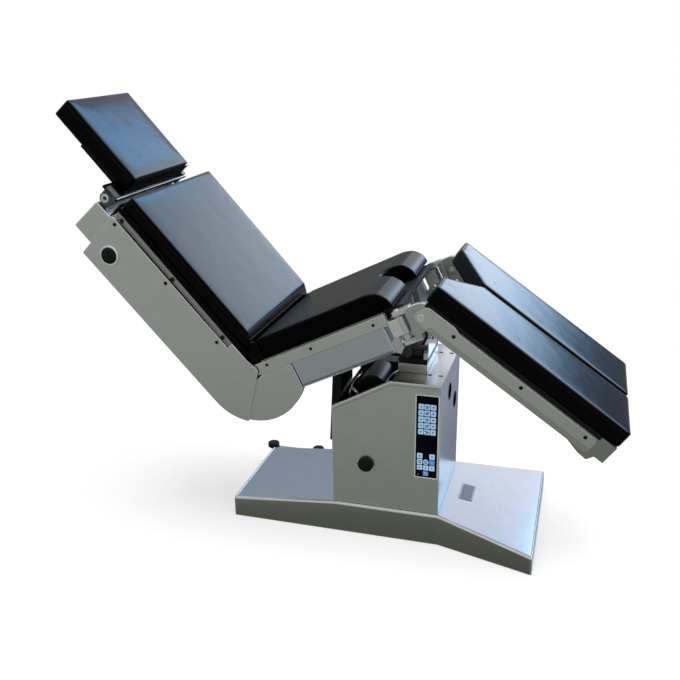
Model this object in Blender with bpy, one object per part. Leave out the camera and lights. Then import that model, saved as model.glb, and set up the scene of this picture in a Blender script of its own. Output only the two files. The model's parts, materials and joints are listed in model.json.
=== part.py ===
"""Operating table with a column, a tilting seat, a back section, a headrest and two leg sections.

Metres, +Z up.  +X points to the foot end, -Y is the patient's right side.  The origin lies on the
floor below the lifting column.  The table stands in a chair position: the seat is pitched head down,
the back section is folded up and the leg sections hang down.
"""

import math

import bmesh
import bpy
from mathutils import Matrix, Vector

# Clearances and stock
GAP = 0.0003                # between two pieces that touch
SHEET = 0.0025              # steel sheet of covers and panels
SIDES = (("right", -1.0), ("left", 1.0))

# Pose in which the table stands, degrees
SEAT_PITCH = 25.9           # foot end of the seat up
BACK_FOLD = 74.3            # back section folded up from flat
LEG_DROP = 61.0             # leg sections down from flat

# Base
BASE_HEAD_X = -0.5505
BASE_FOOT_X = 0.3855
BASE_FLARE_X = 0.102        # where the foot end starts to widen
BASE_SADDLE_X = -0.2165     # head-side end of the level stretch below the column
BASE_HALF = 0.179
BASE_FOOT_HALF = 0.2612
BASE_SADDLE_H = 0.0993
BASE_HEAD_H = 0.0665
BASE_FOOT_H = 0.0575
BASE_LIFT_OFF = 0.002       # skirt above the floor
PLATE_T = 0.014             # ballast plate in the base
FOLD_R = 0.005              # bend radius of the base cover

# Column housing
COL_HEAD_X = -0.2245
COL_FOOT_X = 0.1000
COL_APEX_X = -0.0475
COL_HALF = 0.1712
COL_TOP_Z = 0.5115
COL_HEAD_Z = 0.4148
COL_RIM = 0.012             # folded rim of the side panels
PORT_R = 0.026              # round ports in the end panel
PORTS = ((-0.017, 0.434), (0.0895, 0.3626))
SLOT_L = 0.013              # slots in the top plate
SLOT_W = 0.0045
SLOT_X = (0.0515, 0.0840)
SLOT_Y = 0.0955
DRIVE_T = (0.032, 0.044)    # drive housing on the head side: depth at its top and at its foot
DRIVE_HALF = 0.060
DRIVE_Z = (0.245, 0.470)
TANK_OFF = 0.0195           # tank to the column's head side
TANK_L = 0.145
TANK_Y = (-0.105, 0.125)
TANK_TOP = 0.318
MOTOR_X = -0.126            # pump motor across the tank
MOTOR_Z = 0.436
MOTOR_R = 0.046
MOTOR_Y = (-0.070, 0.060)
MOTOR_BOSS_R = 0.020
MOTOR_BOSS_OUT = (0.018, 0.010)
STAND_HALF = 0.025          # stand between tank and motor
STAND_Y = (-0.040, 0.020)
BLOCK_X = (-0.196, -0.070)  # valve block behind the motor
BLOCK_Y = (0.066, 0.116)
BLOCK_Z = 0.478
PORT_STUB_R = 0.010
PORT_STUB_X = (-0.172, -0.140)
PORT_STUB_Y = -0.080
PORT_STUB_H = 0.032

# Keypad on the right panel
PAD_X = (0.0265, 0.0965)
PAD_Z = (0.2170, 0.4820)
PAD_T = 0.003
PAD_FRAME = 0.0035

# Valve knob on the right panel and lock knob on the back section
VALVE_X = -0.1195
VALVE_Z = 0.2403
VALVE_R = 0.0232
VALVE_L = 0.014
LOCK_U = -0.515
LOCK_V = -0.104
LOCK_R = 0.0232
LOCK_L = 0.0100
LOCK_RING_R = 0.0290
LOCK_RING_T = 0.0040
SPINDLE_R = 0.0055

# Brake pedal behind the base
PEDAL_X = -0.4745
PEDAL_OFF = 0.025           # base side to the middle of the rocker
PEDAL_Y = BASE_HALF + PEDAL_OFF
PEDAL_Z = 0.040
PEDAL_ARM = 0.084           # pivot to pad centre
PEDAL_PAD_R = 0.0200
PEDAL_PAD_T = 0.018
PEDAL_BAR_T = 0.006
PEDAL_BAR_W = 0.020
PEDAL_PIN_R = 0.006

# Lifting column
LIFT_X = 0.0350             # half size of the inner column along X
LIFT_Y = 0.0650
LIFT_WALL = 0.005
LIFT_PLAY = 0.0006
GUIDE_WALL = 0.005
LIFT_FOOT_Z = 0.140
COLLAR_X = 0.0425
COLLAR_Y = 0.092
COLLAR_T = 0.0275
ROD_R = 0.012
CYLINDER_R = 0.024
CYLINDER_TOP = 0.330
ROD_FOOT_Z = 0.060

# Tilt head
TILT_Z = 0.600
HEAD_PLATE_T = 0.015
HEAD_PLATE_Y = 0.090
LUG_T = 0.012
LUG_R = 0.026
FOOT_LUG_HALF = 0.072
FOOT_LUG_TOP = 0.5980
CROSS_X = 0.0285
CROSS_Y = 0.032
CROSS_Z = 0.024
TRUNNION_R = 0.012

# Seat frame, measured from the back hinge along and across the seat
HINGE_U = 0.4122            # back hinge to tilt axis, along the seat
HINGE_V = 0.1335            # tilt axis below the back hinge, across the seat
PLATE_TOP = 0.0147
PLATE_SEAT_T = 0.0085
PLATE_HEAD_U = 0.026
PLATE_FOOT_U = 0.480
BEAM_IN = 0.249
BEAM_T = 0.0127
BEAM_OUT = BEAM_IN + BEAM_T
BEAM_LOW = -0.0194
BEAM_FOOT_U = 0.432
RAIL_T = 0.0035
RAIL_OUT = BEAM_OUT + GAP + RAIL_T
SIDE_PLAY = 0.003           # seat frame to the back section's arms and covers
RAIL_HEAD_U = 0.027
RAIL_FOOT_U = 0.4300
RAIL_LOW = -0.0180
BOX_HEAD_U = 0.1216
BOX_FOOT_U = 0.417
BOX_LOW = -0.096
BOX_NOTCH_U = 0.366
BOX_NOTCH_HALF = 0.062
DRUM_R = 0.154
DRUM_LIP = 0.026            # width of the drum's rim
DRUM_FROM = -131.0          # head-side end of the drum, degrees
CHEEK_IN = 0.034
CHEEK_T = 0.012
CHEEK_R = 0.024
CHEEK_HALF_TOP = 0.045
SHAFT_R = 0.008
EYE_R = 0.0145

# Seat cushion
SEAT_HALF = BEAM_IN + 0.0055
SEAT_HEAD_U = 0.012
SEAT_HEAD_R = 0.045         # round top edge at the head end
SEAT_TOP = 0.080
SEAT_NOSE_U = 0.4618
CUT_U = 0.445               # centre of the round cut-out
CUT_R = 0.060

# Back section, measured from the back hinge along and across the back
BACK_HEAD_U = -0.588
BACK_FOOT_U = -0.094
BACK_SLOPE = ((0.0305, -0.0163), (0.0505, -0.0500))  # foot end below its top edge, parallel to the seat
BACK_LOW = 0.0183
BACK_TOP = 0.0683
BOARD_T = 0.010
ARM_T = 0.010
ARM_IN = BEAM_IN - SIDE_PLAY - ARM_T
BOARD_HALF = ARM_IN + ARM_T + 0.0005
BACK_HALF = BOARD_HALF + 0.0135
ARM_LOW = -0.030
ARM_HEAD_U = BACK_HEAD_U + 0.013
BACK_BOX_HEAD_U = BACK_HEAD_U - 0.068
BACK_BOX_FOOT_U = -0.172
BACK_BOX_HALF = ARM_IN - 0.008
BACK_BOX_LOW = -0.152
BACK_BOX_TOP = -0.045
BACK_RAIL_T = 0.0078
BACK_RAIL_V = (-0.008, 0.0170)
COVER_OUT = RAIL_OUT + SIDE_PLAY
BACK_RAIL_OUT = COVER_OUT - 0.005
BACK_RAIL_IN = BACK_RAIL_OUT - BACK_RAIL_T
COVER_R = 0.158
COVER_LIP = 0.030
COVER_HEAD_V = -0.1665
BOSS_R = 0.006
BACK_SCREWS_U = (-0.565, -0.349, -0.129)
BACK_SCREW_V = -0.024
RAIL_FIX_U = (-0.556, -0.342, -0.127)

# Headrest, in the back section's measures
HEAD_AXIS_U = BACK_HEAD_U - 0.058
HEAD_AXIS_V = -0.020
HEAD_HEAD_U = BACK_HEAD_U - 0.340
HEAD_FOOT_U = BACK_HEAD_U - 0.042
HEAD_LOW = 0.0040
HEAD_TOP = 0.0690
HEAD_HALF = 0.1750
HEAD_PLATE_U = HEAD_AXIS_U - 0.169
HEAD_LUG_R = 0.0172
HEAD_LUG_IN = HEAD_HALF + 0.005
HEAD_LUG_T = 0.020
HEAD_BLOCK_T = 0.022

# Leg sections: the clevis in seat measures, the rest from the knee pin
PIN_Y = BEAM_IN
HIP_U = 0.462
KNEE_U = 0.523
KNEE_V = -0.0307
BLOCK_HALF_T = 0.017
BLOCK_LOW = -0.057
BLOCK_TOP = -0.009
PLATE_NOSE_HALF = PIN_Y - BLOCK_HALF_T - 0.008
CLEVIS_TOP = 0.0092
CLEVIS_LOW = -0.089
CLEVIS_BAR = 0.0135
CLEVIS_FOOT_U = 0.5030
HIP_PIN_R = 0.007
KNUCKLE_T = 0.0156
KNUCKLE_IN = PIN_Y - 0.0028
KNUCKLE_OUT = KNUCKLE_IN + KNUCKLE_T
KNUCKLE_R = 0.0385
KNEE_PIN_R = 0.008
LEG_PLATE_T = 0.0063
LEG_PLATE_IN = KNUCKLE_OUT + 0.0004
LEG_PLATE_OUT = LEG_PLATE_IN + LEG_PLATE_T
LEG_PLATE_FOOT_U = 0.555
LEG_LOW = -0.0205
LEG_FRAME_U = (0.048, 0.607)
LEG_TRAY_TOP = 0.0405
LEG_WALL_LOW = -0.0160
LEG_TRAY_OUT = LEG_PLATE_IN - GAP
LEG_TRAY_IN = 0.0080
LEG_CHEEK_T = 0.008
LEG_CHEEK_FOOT_U = 0.300
LEG_CUSHION_U = (-0.0200, 0.6120)
LEG_CUSHION_LOW = 0.0408
LEG_CUSHION_TOP = 0.0954
LEG_CUSHION_IN = 0.0058
LEG_CUSHION_OUT = LEG_PLATE_IN - 0.0007
SOCKET_Y = (0.225, 0.2600)  # accessory socket below the tray's foot end
SOCKET_U = (0.470, 0.541, 0.5696, 0.580)
SOCKET_LOW = -0.0366
LEG_CHAMFER_U = 0.0915
LEG_CHAMFER_Y = 0.155


def clear_scene():
    for item in list(bpy.data.objects):
        bpy.data.objects.remove(item, do_unlink=True)


def material(name, colour, roughness, metallic):
    found = bpy.data.materials.get(name)
    if found:
        return found
    made = bpy.data.materials.new(name)
    made.use_nodes = True
    shader = made.node_tree.nodes["Principled BSDF"]
    shader.inputs["Base Color"].default_value = (*colour, 1.0)
    shader.inputs["Roughness"].default_value = roughness
    shader.inputs["Metallic"].default_value = metallic
    return made


FINISHES = {
    "steel": ((0.48, 0.49, 0.48), 0.38, 0.9),
    "steel_bright": ((0.66, 0.67, 0.69), 0.28, 1.0),
    "cast": ((0.42, 0.43, 0.41), 0.45, 0.8),
    "dark_steel": ((0.06, 0.06, 0.065), 0.35, 0.6),
    "chrome": ((0.78, 0.78, 0.80), 0.12, 1.0),
    "leather": ((0.018, 0.016, 0.016), 0.42, 0.0),
    "black_plastic": ((0.015, 0.015, 0.016), 0.45, 0.0),
    "keypad": ((0.02, 0.03, 0.06), 0.25, 0.0),
}


def finish(name):
    return material(name, *FINISHES[name])


def axis(name, parent, location, pitch=0.0):
    """An empty on a joint's axis; pitch turns it about Y, foot end down when positive."""
    made = bpy.data.objects.new(name, None)
    made.empty_display_size = 0.05
    made.location = location
    made.rotation_euler = (0.0, math.radians(pitch), 0.0)
    made.parent = parent
    bpy.context.scene.collection.objects.link(made)
    return made


def piece(name, bm, finish_name, frame=(None, (0.0, 0.0, 0.0)), smooth=35.0):
    """Turn a bmesh into a named object.  frame is the parent empty and the mesh's offset from it."""
    mesh = bpy.data.meshes.new(name)
    bm.to_mesh(mesh)
    bm.free()
    made = bpy.data.objects.new(name, mesh)
    made.parent, made.location = frame[0], Vector(frame[1])
    mesh.materials.append(finish(finish_name))
    if smooth:
        mesh.shade_smooth()
        mesh.set_sharp_from_angle(angle=math.radians(smooth))
    bpy.context.scene.collection.objects.link(made)
    return made


def helper(name, bm, owner):
    """A hidden solid that a Boolean on owner uses, in owner's own coordinates."""
    mesh = bpy.data.meshes.new(name)
    bm.to_mesh(mesh)
    bm.free()
    made = bpy.data.objects.new(name, mesh)
    made.parent, made.location = owner.parent, owner.location
    made.hide_render = True
    made.display_type = "WIRE"
    bpy.context.scene.collection.objects.link(made)
    return made


def combine(owner, bm, operation):
    label = "cut" if operation == "DIFFERENCE" else "add"
    tool = helper(f"{owner.name}_{label}_{len(owner.modifiers)}", bm, owner)
    step = owner.modifiers.new(tool.name, "BOOLEAN")
    step.operation = operation
    step.solver = "EXACT"
    step.object = tool
    return owner


def cut(owner, bm):
    return combine(owner, bm, "DIFFERENCE")


def add(owner, bm):
    return combine(owner, bm, "UNION")


def bevel(owner, width, segments=2, angle=30.0):
    step = owner.modifiers.new("bevel", "BEVEL")
    step.width = width
    step.segments = segments
    step.limit_method = "ANGLE"
    step.angle_limit = math.radians(angle)
    return owner


def thicken(owner, thickness=SHEET):
    step = owner.modifiers.new("sheet", "SOLIDIFY")
    step.thickness = thickness
    step.offset = -1.0
    step.use_even_offset = True
    return owner


def arc(centre, radius, start, end, steps):
    """Points on a circle from start to end, in degrees."""
    turn = [math.radians(start + (end - start) * i / steps) for i in range(steps + 1)]
    return [(centre[0] + radius * math.cos(a), centre[1] + radius * math.sin(a)) for a in turn]


def circle(centre, radius, steps=24):
    return arc(centre, radius, 0.0, 360.0 - 360.0 / steps, steps - 1)


def rounded(points, radii, steps=4):
    """Outline whose corners are arcs; radii is one radius or one for each corner."""
    if not isinstance(radii, (list, tuple)):
        radii = [radii] * len(points)
    outline = []
    for i, (corner, radius) in enumerate(zip(points, radii)):
        here = Vector(corner)
        back = Vector(points[i - 1]) - here
        ahead = Vector(points[(i + 1) % len(points)]) - here
        half = back.angle(ahead) / 2.0
        if radius <= 0.0 or abs(half - math.pi / 2.0) < 0.01:
            outline.append(corner)
            continue
        run = min(radius / math.tan(half), 0.49 * back.length, 0.49 * ahead.length)
        reach = run * math.tan(half)
        middle = here + (back.normalized() + ahead.normalized()).normalized() * (reach / math.sin(half))
        first = here + back.normalized() * run - middle
        last = here + ahead.normalized() * run - middle
        sweep = first.angle_signed(last)
        for k in range(steps + 1):
            turned = Matrix.Rotation(-sweep * k / steps, 2) @ first
            outline.append(tuple(middle + turned))
    return outline


PLANES = {
    "x": lambda a, b, depth: (depth, a, b),
    "y": lambda a, b, depth: (a, depth, b),
    "z": lambda a, b, depth: (a, b, depth),
}


def prism(outline, low, high, holes=(), along="y"):
    """Extrude an outline, with its holes, from low to high along an axis."""
    bm = bmesh.new()
    place = PLANES[along]
    edges = []
    rings = []
    for ring in (outline, *holes):
        verts = [bm.verts.new(place(a, b, low)) for a, b in ring]
        edges += [bm.edges.new((verts[i - 1], verts[i])) for i in range(len(verts))]
        rings.append(verts)
    if holes:
        bmesh.ops.triangle_fill(bm, use_beauty=True, use_dissolve=False, edges=edges)
    else:
        bm.faces.new(rings[0])
    grown = bmesh.ops.extrude_face_region(bm, geom=bm.faces[:])
    moved = [g for g in grown["geom"] if isinstance(g, bmesh.types.BMVert)]
    step = Vector(place(0.0, 0.0, high)) - Vector(place(0.0, 0.0, low))
    bmesh.ops.translate(bm, vec=step, verts=moved)
    bmesh.ops.recalc_face_normals(bm, faces=bm.faces[:])
    return bm


def box(x, y, z):
    corners = ((x[0], z[0]), (x[1], z[0]), (x[1], z[1]), (x[0], z[1]))
    return prism(corners, y[0], y[1])


def bar(side, inner, outer):
    """Low and high Y of a piece that lies between two distances from the middle plane."""
    return (inner, outer) if side > 0 else (-outer, -inner)


def merge(*meshes):
    """One bmesh that holds several separate solids, as a cutter."""
    whole = bmesh.new()
    for part in meshes:
        scrap = bpy.data.meshes.new("scrap")
        part.to_mesh(scrap)
        part.free()
        whole.from_mesh(scrap)
        bpy.data.meshes.remove(scrap)
    return whole


def surface(faces):
    """An open sheet from polygons given as corner lists, joined along their common edges."""
    bm = bmesh.new()
    for corners in faces:
        bm.faces.new([bm.verts.new(c) for c in corners])
    bmesh.ops.remove_doubles(bm, verts=bm.verts[:], dist=1e-5)
    bmesh.ops.recalc_face_normals(bm, faces=bm.faces[:])
    return bm


def turned(profile, steps=32):
    """Solid of revolution about Y from (radius, y) points that start and end on the axis."""
    bm = bmesh.new()
    verts = [bm.verts.new((radius, y, 0.0)) for radius, y in profile]
    edges = [bm.edges.new((verts[i], verts[i + 1])) for i in range(len(verts) - 1)]
    bmesh.ops.spin(bm, geom=verts + edges, cent=(0, 0, 0), axis=(0, 1, 0),
                   angle=math.tau, steps=steps, use_merge=True)
    bmesh.ops.remove_doubles(bm, verts=bm.verts[:], dist=1e-6)
    bmesh.ops.recalc_face_normals(bm, faces=bm.faces[:])
    return bm


def strip(points, width):
    """Outline of a band of constant width on the left of a run of points."""
    shifted = []
    for i, point in enumerate(points):
        here = Vector(point)
        legs = []
        if i > 0:
            legs.append((here - Vector(points[i - 1])).normalized())
        if i < len(points) - 1:
            legs.append((Vector(points[i + 1]) - here).normalized())
        normals = [Vector((-leg.y, leg.x)) for leg in legs]
        mean = sum(normals, Vector((0.0, 0.0))).normalized()
        shifted.append(tuple(here + mean * (width / mean.dot(normals[0]))))
    return [*points, *reversed(shifted)]


def sheet_pan(name, outline, rims, side, face, depth, frame=(None, (0.0, 0.0, 0.0))):
    """A flat side sheet whose outer side lies at the distance face from the middle plane.

    outline is in X and Z, counter-clockwise.  Each of rims is a run of its points along which the
    sheet is folded inwards by depth.
    """
    low, high = bar(side, face - SHEET, face)
    made = piece(name, prism(outline, low, high), "steel", frame)
    low, high = bar(side, face - depth, face - SHEET * 0.4)
    for rim in rims:
        add(made, prism(strip(rim, SHEET), low, high))
    return made


# Base

def base_stations():
    return (
        (BASE_HEAD_X, BASE_HALF, BASE_HEAD_H),
        (BASE_SADDLE_X, BASE_HALF, BASE_SADDLE_H),
        (BASE_FLARE_X, BASE_HALF, BASE_SADDLE_H),
        (BASE_FOOT_X, BASE_FOOT_HALF, BASE_FOOT_H),
    )


def base_cover():
    """Folded sheet cover: a level saddle under the column and two slopes, the foot end flared."""
    faces = []
    rows = base_stations()
    for (x0, y0, z0), (x1, y1, z1) in zip(rows, rows[1:]):
        faces.append([(x0, -y0, z0), (x1, -y1, z1), (x1, y1, z1), (x0, y0, z0)])
        for s in (-1.0, 1.0):
            low = BASE_LIFT_OFF
            faces.append([(x0, s * y0, low), (x1, s * y1, low), (x1, s * y1, z1), (x0, s * y0, z0)])
    for x, y, z in (rows[0], rows[-1]):
        faces.append([(x, -y, BASE_LIFT_OFF), (x, y, BASE_LIFT_OFF), (x, y, z), (x, -y, z)])
    made = piece("base_cover", surface(faces), "steel")
    bevel(made, FOLD_R, 2, 20.0)
    thicken(made)
    hole = (LIFT_X + GUIDE_WALL + LIFT_PLAY + 0.01, LIFT_Y + GUIDE_WALL + LIFT_PLAY + 0.01)
    cut(made, box((-hole[0], hole[0]), (-hole[1], hole[1]), (BASE_HEAD_H, BASE_SADDLE_H + 0.02)))
    return made


def base_plate():
    inset = SHEET + GAP
    outline = []
    flare = (BASE_FOOT_HALF - BASE_HALF) / (BASE_FOOT_X - BASE_FLARE_X)
    for s in (-1.0, 1.0):
        side = [
            (BASE_HEAD_X + inset, s * (BASE_HALF - inset)),
            (BASE_FLARE_X, s * (BASE_HALF - inset)),
            (BASE_FOOT_X - inset, s * (BASE_FOOT_HALF - inset * (1.0 + flare))),
        ]
        outline += side if s < 0 else side[::-1]
    made = piece("base_plate", prism(rounded(outline, [FOLD_R, 0, FOLD_R, FOLD_R, 0, FOLD_R], 2),
                                     0.0, PLATE_T, along="z"), "dark_steel")
    return made


# Column

def column_outline():
    low = BASE_SADDLE_H + GAP
    return [(COL_HEAD_X, low), (COL_FOOT_X, low), (COL_FOOT_X, COL_TOP_Z),
            (COL_APEX_X, COL_TOP_Z), (COL_HEAD_X, COL_HEAD_Z)]


def column_panels():
    for name, s in SIDES:
        outline = column_outline()
        made = sheet_pan(f"column_panel_{name}", outline, [[*outline[3:], outline[0]]], s, COL_HALF, COL_RIM)
        if s < 0:
            hole = prism(circle((VALVE_X, VALVE_Z), SPINDLE_R + GAP, 16), -COL_HALF - 0.01, -COL_HALF + 0.01)
            cut(made, hole)


def column_end_panel():
    inner = COL_HALF - SHEET - GAP
    low = BASE_SADDLE_H + GAP
    outline = [(-inner, low), (inner, low), (inner, COL_TOP_Z - SHEET - GAP), (-inner, COL_TOP_Z - SHEET - GAP)]
    ports = [circle(port, PORT_R, 28) for port in PORTS]
    piece("column_end_panel", prism(outline, COL_FOOT_X - SHEET, COL_FOOT_X, ports, "x"), "steel")


def column_top_plate():
    inner = COL_HALF - SHEET - GAP
    outline = [(COL_APEX_X + 0.004, -inner), (COL_FOOT_X, -inner), (COL_FOOT_X, inner), (COL_APEX_X + 0.004, inner)]
    across = LIFT_X + GUIDE_WALL + LIFT_PLAY + GAP
    along = LIFT_Y + GUIDE_WALL + LIFT_PLAY + GAP
    holes = [[(-across, -along), (across, -along), (across, along), (-across, along)]]
    for x in SLOT_X:
        for s in (-1.0, 1.0):
            y = s * SLOT_Y
            slot = [(x - SLOT_L / 2, y - SLOT_W / 2), (x + SLOT_L / 2, y - SLOT_W / 2),
                    (x + SLOT_L / 2, y + SLOT_W / 2), (x - SLOT_L / 2, y + SLOT_W / 2)]
            holes.append(rounded(slot, SLOT_W * 0.45, 3))
    piece("column_top_plate", prism(outline, COL_TOP_Z - SHEET, COL_TOP_Z, holes, "z"), "steel_bright")


def column_head_panel():
    inner = COL_HALF - SHEET - GAP
    face = COL_HEAD_X + SHEET + GAP
    slope = (COL_TOP_Z - COL_HEAD_Z) / (COL_APEX_X - COL_HEAD_X)
    top = COL_HEAD_Z - SHEET * 1.2 - GAP + slope * SHEET
    made = piece("column_head_panel", box((face, face + SHEET), (-inner, inner), (BASE_SADDLE_H + GAP, top)),
                 "steel")
    return made


def drive_housing():
    """Dark housing of the tilt drive, which leans on the head side of the column."""
    face = COL_HEAD_X + SHEET
    low, high = DRIVE_Z
    outline = [(face, low), (face, high), (face - DRIVE_T[0], high), (face - DRIVE_T[1], low)]
    made = piece("drive_housing", prism(outline, -DRIVE_HALF, DRIVE_HALF), "black_plastic")
    bevel(made, 0.004, 2)


def power_unit():
    """Hydraulic pack in the column: tank, pump motor across it, valve block and two ports."""
    low = BASE_SADDLE_H + GAP
    centre = (MOTOR_X, MOTOR_Z)
    sunk = TANK_TOP - 0.018
    tank = (COL_HEAD_X + TANK_OFF, COL_HEAD_X + TANK_OFF + TANK_L)
    made = piece("power_unit", box(tank, TANK_Y, (low, TANK_TOP)), "dark_steel")
    bevel(made, 0.008, 2)
    add(made, prism(circle(centre, MOTOR_R, 28), *MOTOR_Y))
    add(made, prism(circle(centre, MOTOR_BOSS_R, 20), MOTOR_Y[0] - MOTOR_BOSS_OUT[0], MOTOR_Y[1] + MOTOR_BOSS_OUT[1]))
    add(made, box((MOTOR_X - STAND_HALF, MOTOR_X + STAND_HALF), STAND_Y, (sunk, MOTOR_Z - 0.021)))
    add(made, box(BLOCK_X, BLOCK_Y, (sunk, BLOCK_Z)))
    for x in PORT_STUB_X:
        add(made, prism(circle((x, PORT_STUB_Y), PORT_STUB_R, 14), TANK_TOP - 0.008, TANK_TOP + PORT_STUB_H,
                        along="z"))


def guide():
    """Fixed guide tube of the lift with its collar on the column's top plate."""
    inner = (LIFT_X + LIFT_PLAY, LIFT_Y + LIFT_PLAY)
    outer = (inner[0] + GUIDE_WALL, inner[1] + GUIDE_WALL)
    low = PLATE_T + GAP
    bore = [(-inner[0], -inner[1]), (inner[0], -inner[1]), (inner[0], inner[1]), (-inner[0], inner[1])]
    wall = [(-outer[0], -outer[1]), (outer[0], -outer[1]), (outer[0], outer[1]), (-outer[0], outer[1])]
    piece("lift_guide", prism(wall, low, COL_TOP_Z, [bore], "z"), "steel_bright")
    flange = [(-COLLAR_X, -COLLAR_Y), (COLLAR_X, -COLLAR_Y), (COLLAR_X, COLLAR_Y), (-COLLAR_X, COLLAR_Y)]
    piece("guide_collar", prism(rounded(flange, 0.003, 2), COL_TOP_Z + GAP, COL_TOP_Z + COLLAR_T, [bore], "z"),
          "steel_bright")


def lift_cylinder():
    """Hydraulic cylinder of the lift: a tube closed at its foot, with a gland ring at its mouth."""
    bore = ROD_R + GAP
    low = PLATE_T + GAP
    profile = [(0.0, low), (CYLINDER_R + 0.008, low), (CYLINDER_R + 0.008, low + 0.012), (CYLINDER_R, low + 0.012),
               (CYLINDER_R, CYLINDER_TOP - 0.016), (CYLINDER_R + 0.0025, CYLINDER_TOP - 0.016),
               (CYLINDER_R + 0.0025, CYLINDER_TOP), (bore, CYLINDER_TOP), (bore, low + 0.020), (0.0, low + 0.020)]
    made = piece("lift_cylinder", turned(profile, 28), "dark_steel")
    stand_up(made)


def stand_up(made):
    """Turn a revolved mesh from the Y axis to the Z axis."""
    made.data.transform(Matrix.Rotation(math.radians(90.0), 4, "X"))


# Keypad, knobs and pedal

def keypad():
    window = (PAD_X[0] + PAD_FRAME, PAD_X[1] - PAD_FRAME), (PAD_Z[0] + PAD_FRAME, PAD_Z[1] - PAD_FRAME)
    outer = [(PAD_X[0], PAD_Z[0]), (PAD_X[1], PAD_Z[0]), (PAD_X[1], PAD_Z[1]), (PAD_X[0], PAD_Z[1])]
    inner = [(window[0][0], window[1][0]), (window[0][1], window[1][0]),
             (window[0][1], window[1][1]), (window[0][0], window[1][1])]
    face = -COL_HALF - GAP
    piece("keypad_bezel", prism(rounded(outer, 0.003, 3), face - PAD_T, face, [rounded(inner, 0.002, 2)]),
          "steel_bright")
    pad = [(window[0][0] + GAP, window[1][0] + GAP), (window[0][1] - GAP, window[1][0] + GAP),
           (window[0][1] - GAP, window[1][1] - GAP), (window[0][0] + GAP, window[1][1] - GAP)]
    piece("keypad_membrane", prism(rounded(pad, 0.002, 2), face - PAD_T + 0.0010, face), "keypad")


def knob_profile(radius, length, spindle, root):
    """Half section of a knob that points to -Y: spindle, skirt, domed cap."""
    crown = [(radius * math.cos(math.radians(t)), -length + 0.35 * length * (1.0 - math.sin(math.radians(t))))
             for t in (0, 25, 50, 75)]
    return [(0.0, root), (spindle, root), (spindle, 0.0), (radius * 0.96, 0.0), (radius, -0.002), *crown,
            (0.0, -length)]


def column_knob():
    origin = (VALVE_X, -COL_HALF - GAP, VALVE_Z)
    hub = axis("valve_axis", None, origin)
    piece("column_knob", turned(knob_profile(VALVE_R, VALVE_L, SPINDLE_R, 0.030), 32), "black_plastic",
          (hub, (0, 0, 0)))


def pedal():
    wall = BASE_HALF + GAP
    hub = axis("pedal_axis", None, (PEDAL_X, PEDAL_Y, PEDAL_Z))
    inner = PEDAL_Y - PEDAL_BAR_W / 2 - GAP
    block = rounded([(PEDAL_X - 0.022, PEDAL_Z - 0.018), (PEDAL_X + 0.022, PEDAL_Z - 0.018),
                     (PEDAL_X + 0.014, PEDAL_Z + 0.016), (PEDAL_X - 0.014, PEDAL_Z + 0.016)], 0.006, 3)
    bracket = piece("pedal_bracket", prism(block, wall, inner), "cast")
    add(bracket, prism(circle((PEDAL_X, PEDAL_Z), PEDAL_PIN_R, 20), inner - 0.004,
                       PEDAL_Y + PEDAL_BAR_W / 2 + 0.004))
    top = PEDAL_Z + 0.0147 - PEDAL_Z
    low = top - PEDAL_BAR_T
    reach = PEDAL_ARM + 0.006
    hub_r = 0.0135
    dip = math.degrees(math.asin(low / hub_r))
    outline = [(-reach, low), *arc((0, 0), hub_r, 180.0 - dip, 360.0 + dip, 14), (reach, low), (reach, top),
               (-reach, top)]
    half = PEDAL_BAR_W / 2
    piece("pedal_rocker", prism(outline, -half, half, [circle((0, 0), PEDAL_PIN_R + GAP, 20)]),
          "cast", (hub, (0, 0, 0)))
    profile = [(0.0, 0.0), (PEDAL_PAD_R - 0.001, 0.0), (PEDAL_PAD_R, 0.001), (PEDAL_PAD_R, PEDAL_PAD_T - 0.004),
               (PEDAL_PAD_R - 0.0015, PEDAL_PAD_T - 0.001), (PEDAL_PAD_R - 0.004, PEDAL_PAD_T), (0.0, PEDAL_PAD_T)]
    for name, s in (("head", -1.0), ("foot", 1.0)):
        made = piece(f"pedal_pad_{name}", turned(profile, 28), "black_plastic",
                     (hub, (s * PEDAL_ARM, 0, top + GAP)))
        stand_up(made)


# Lift and tilt head

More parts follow.
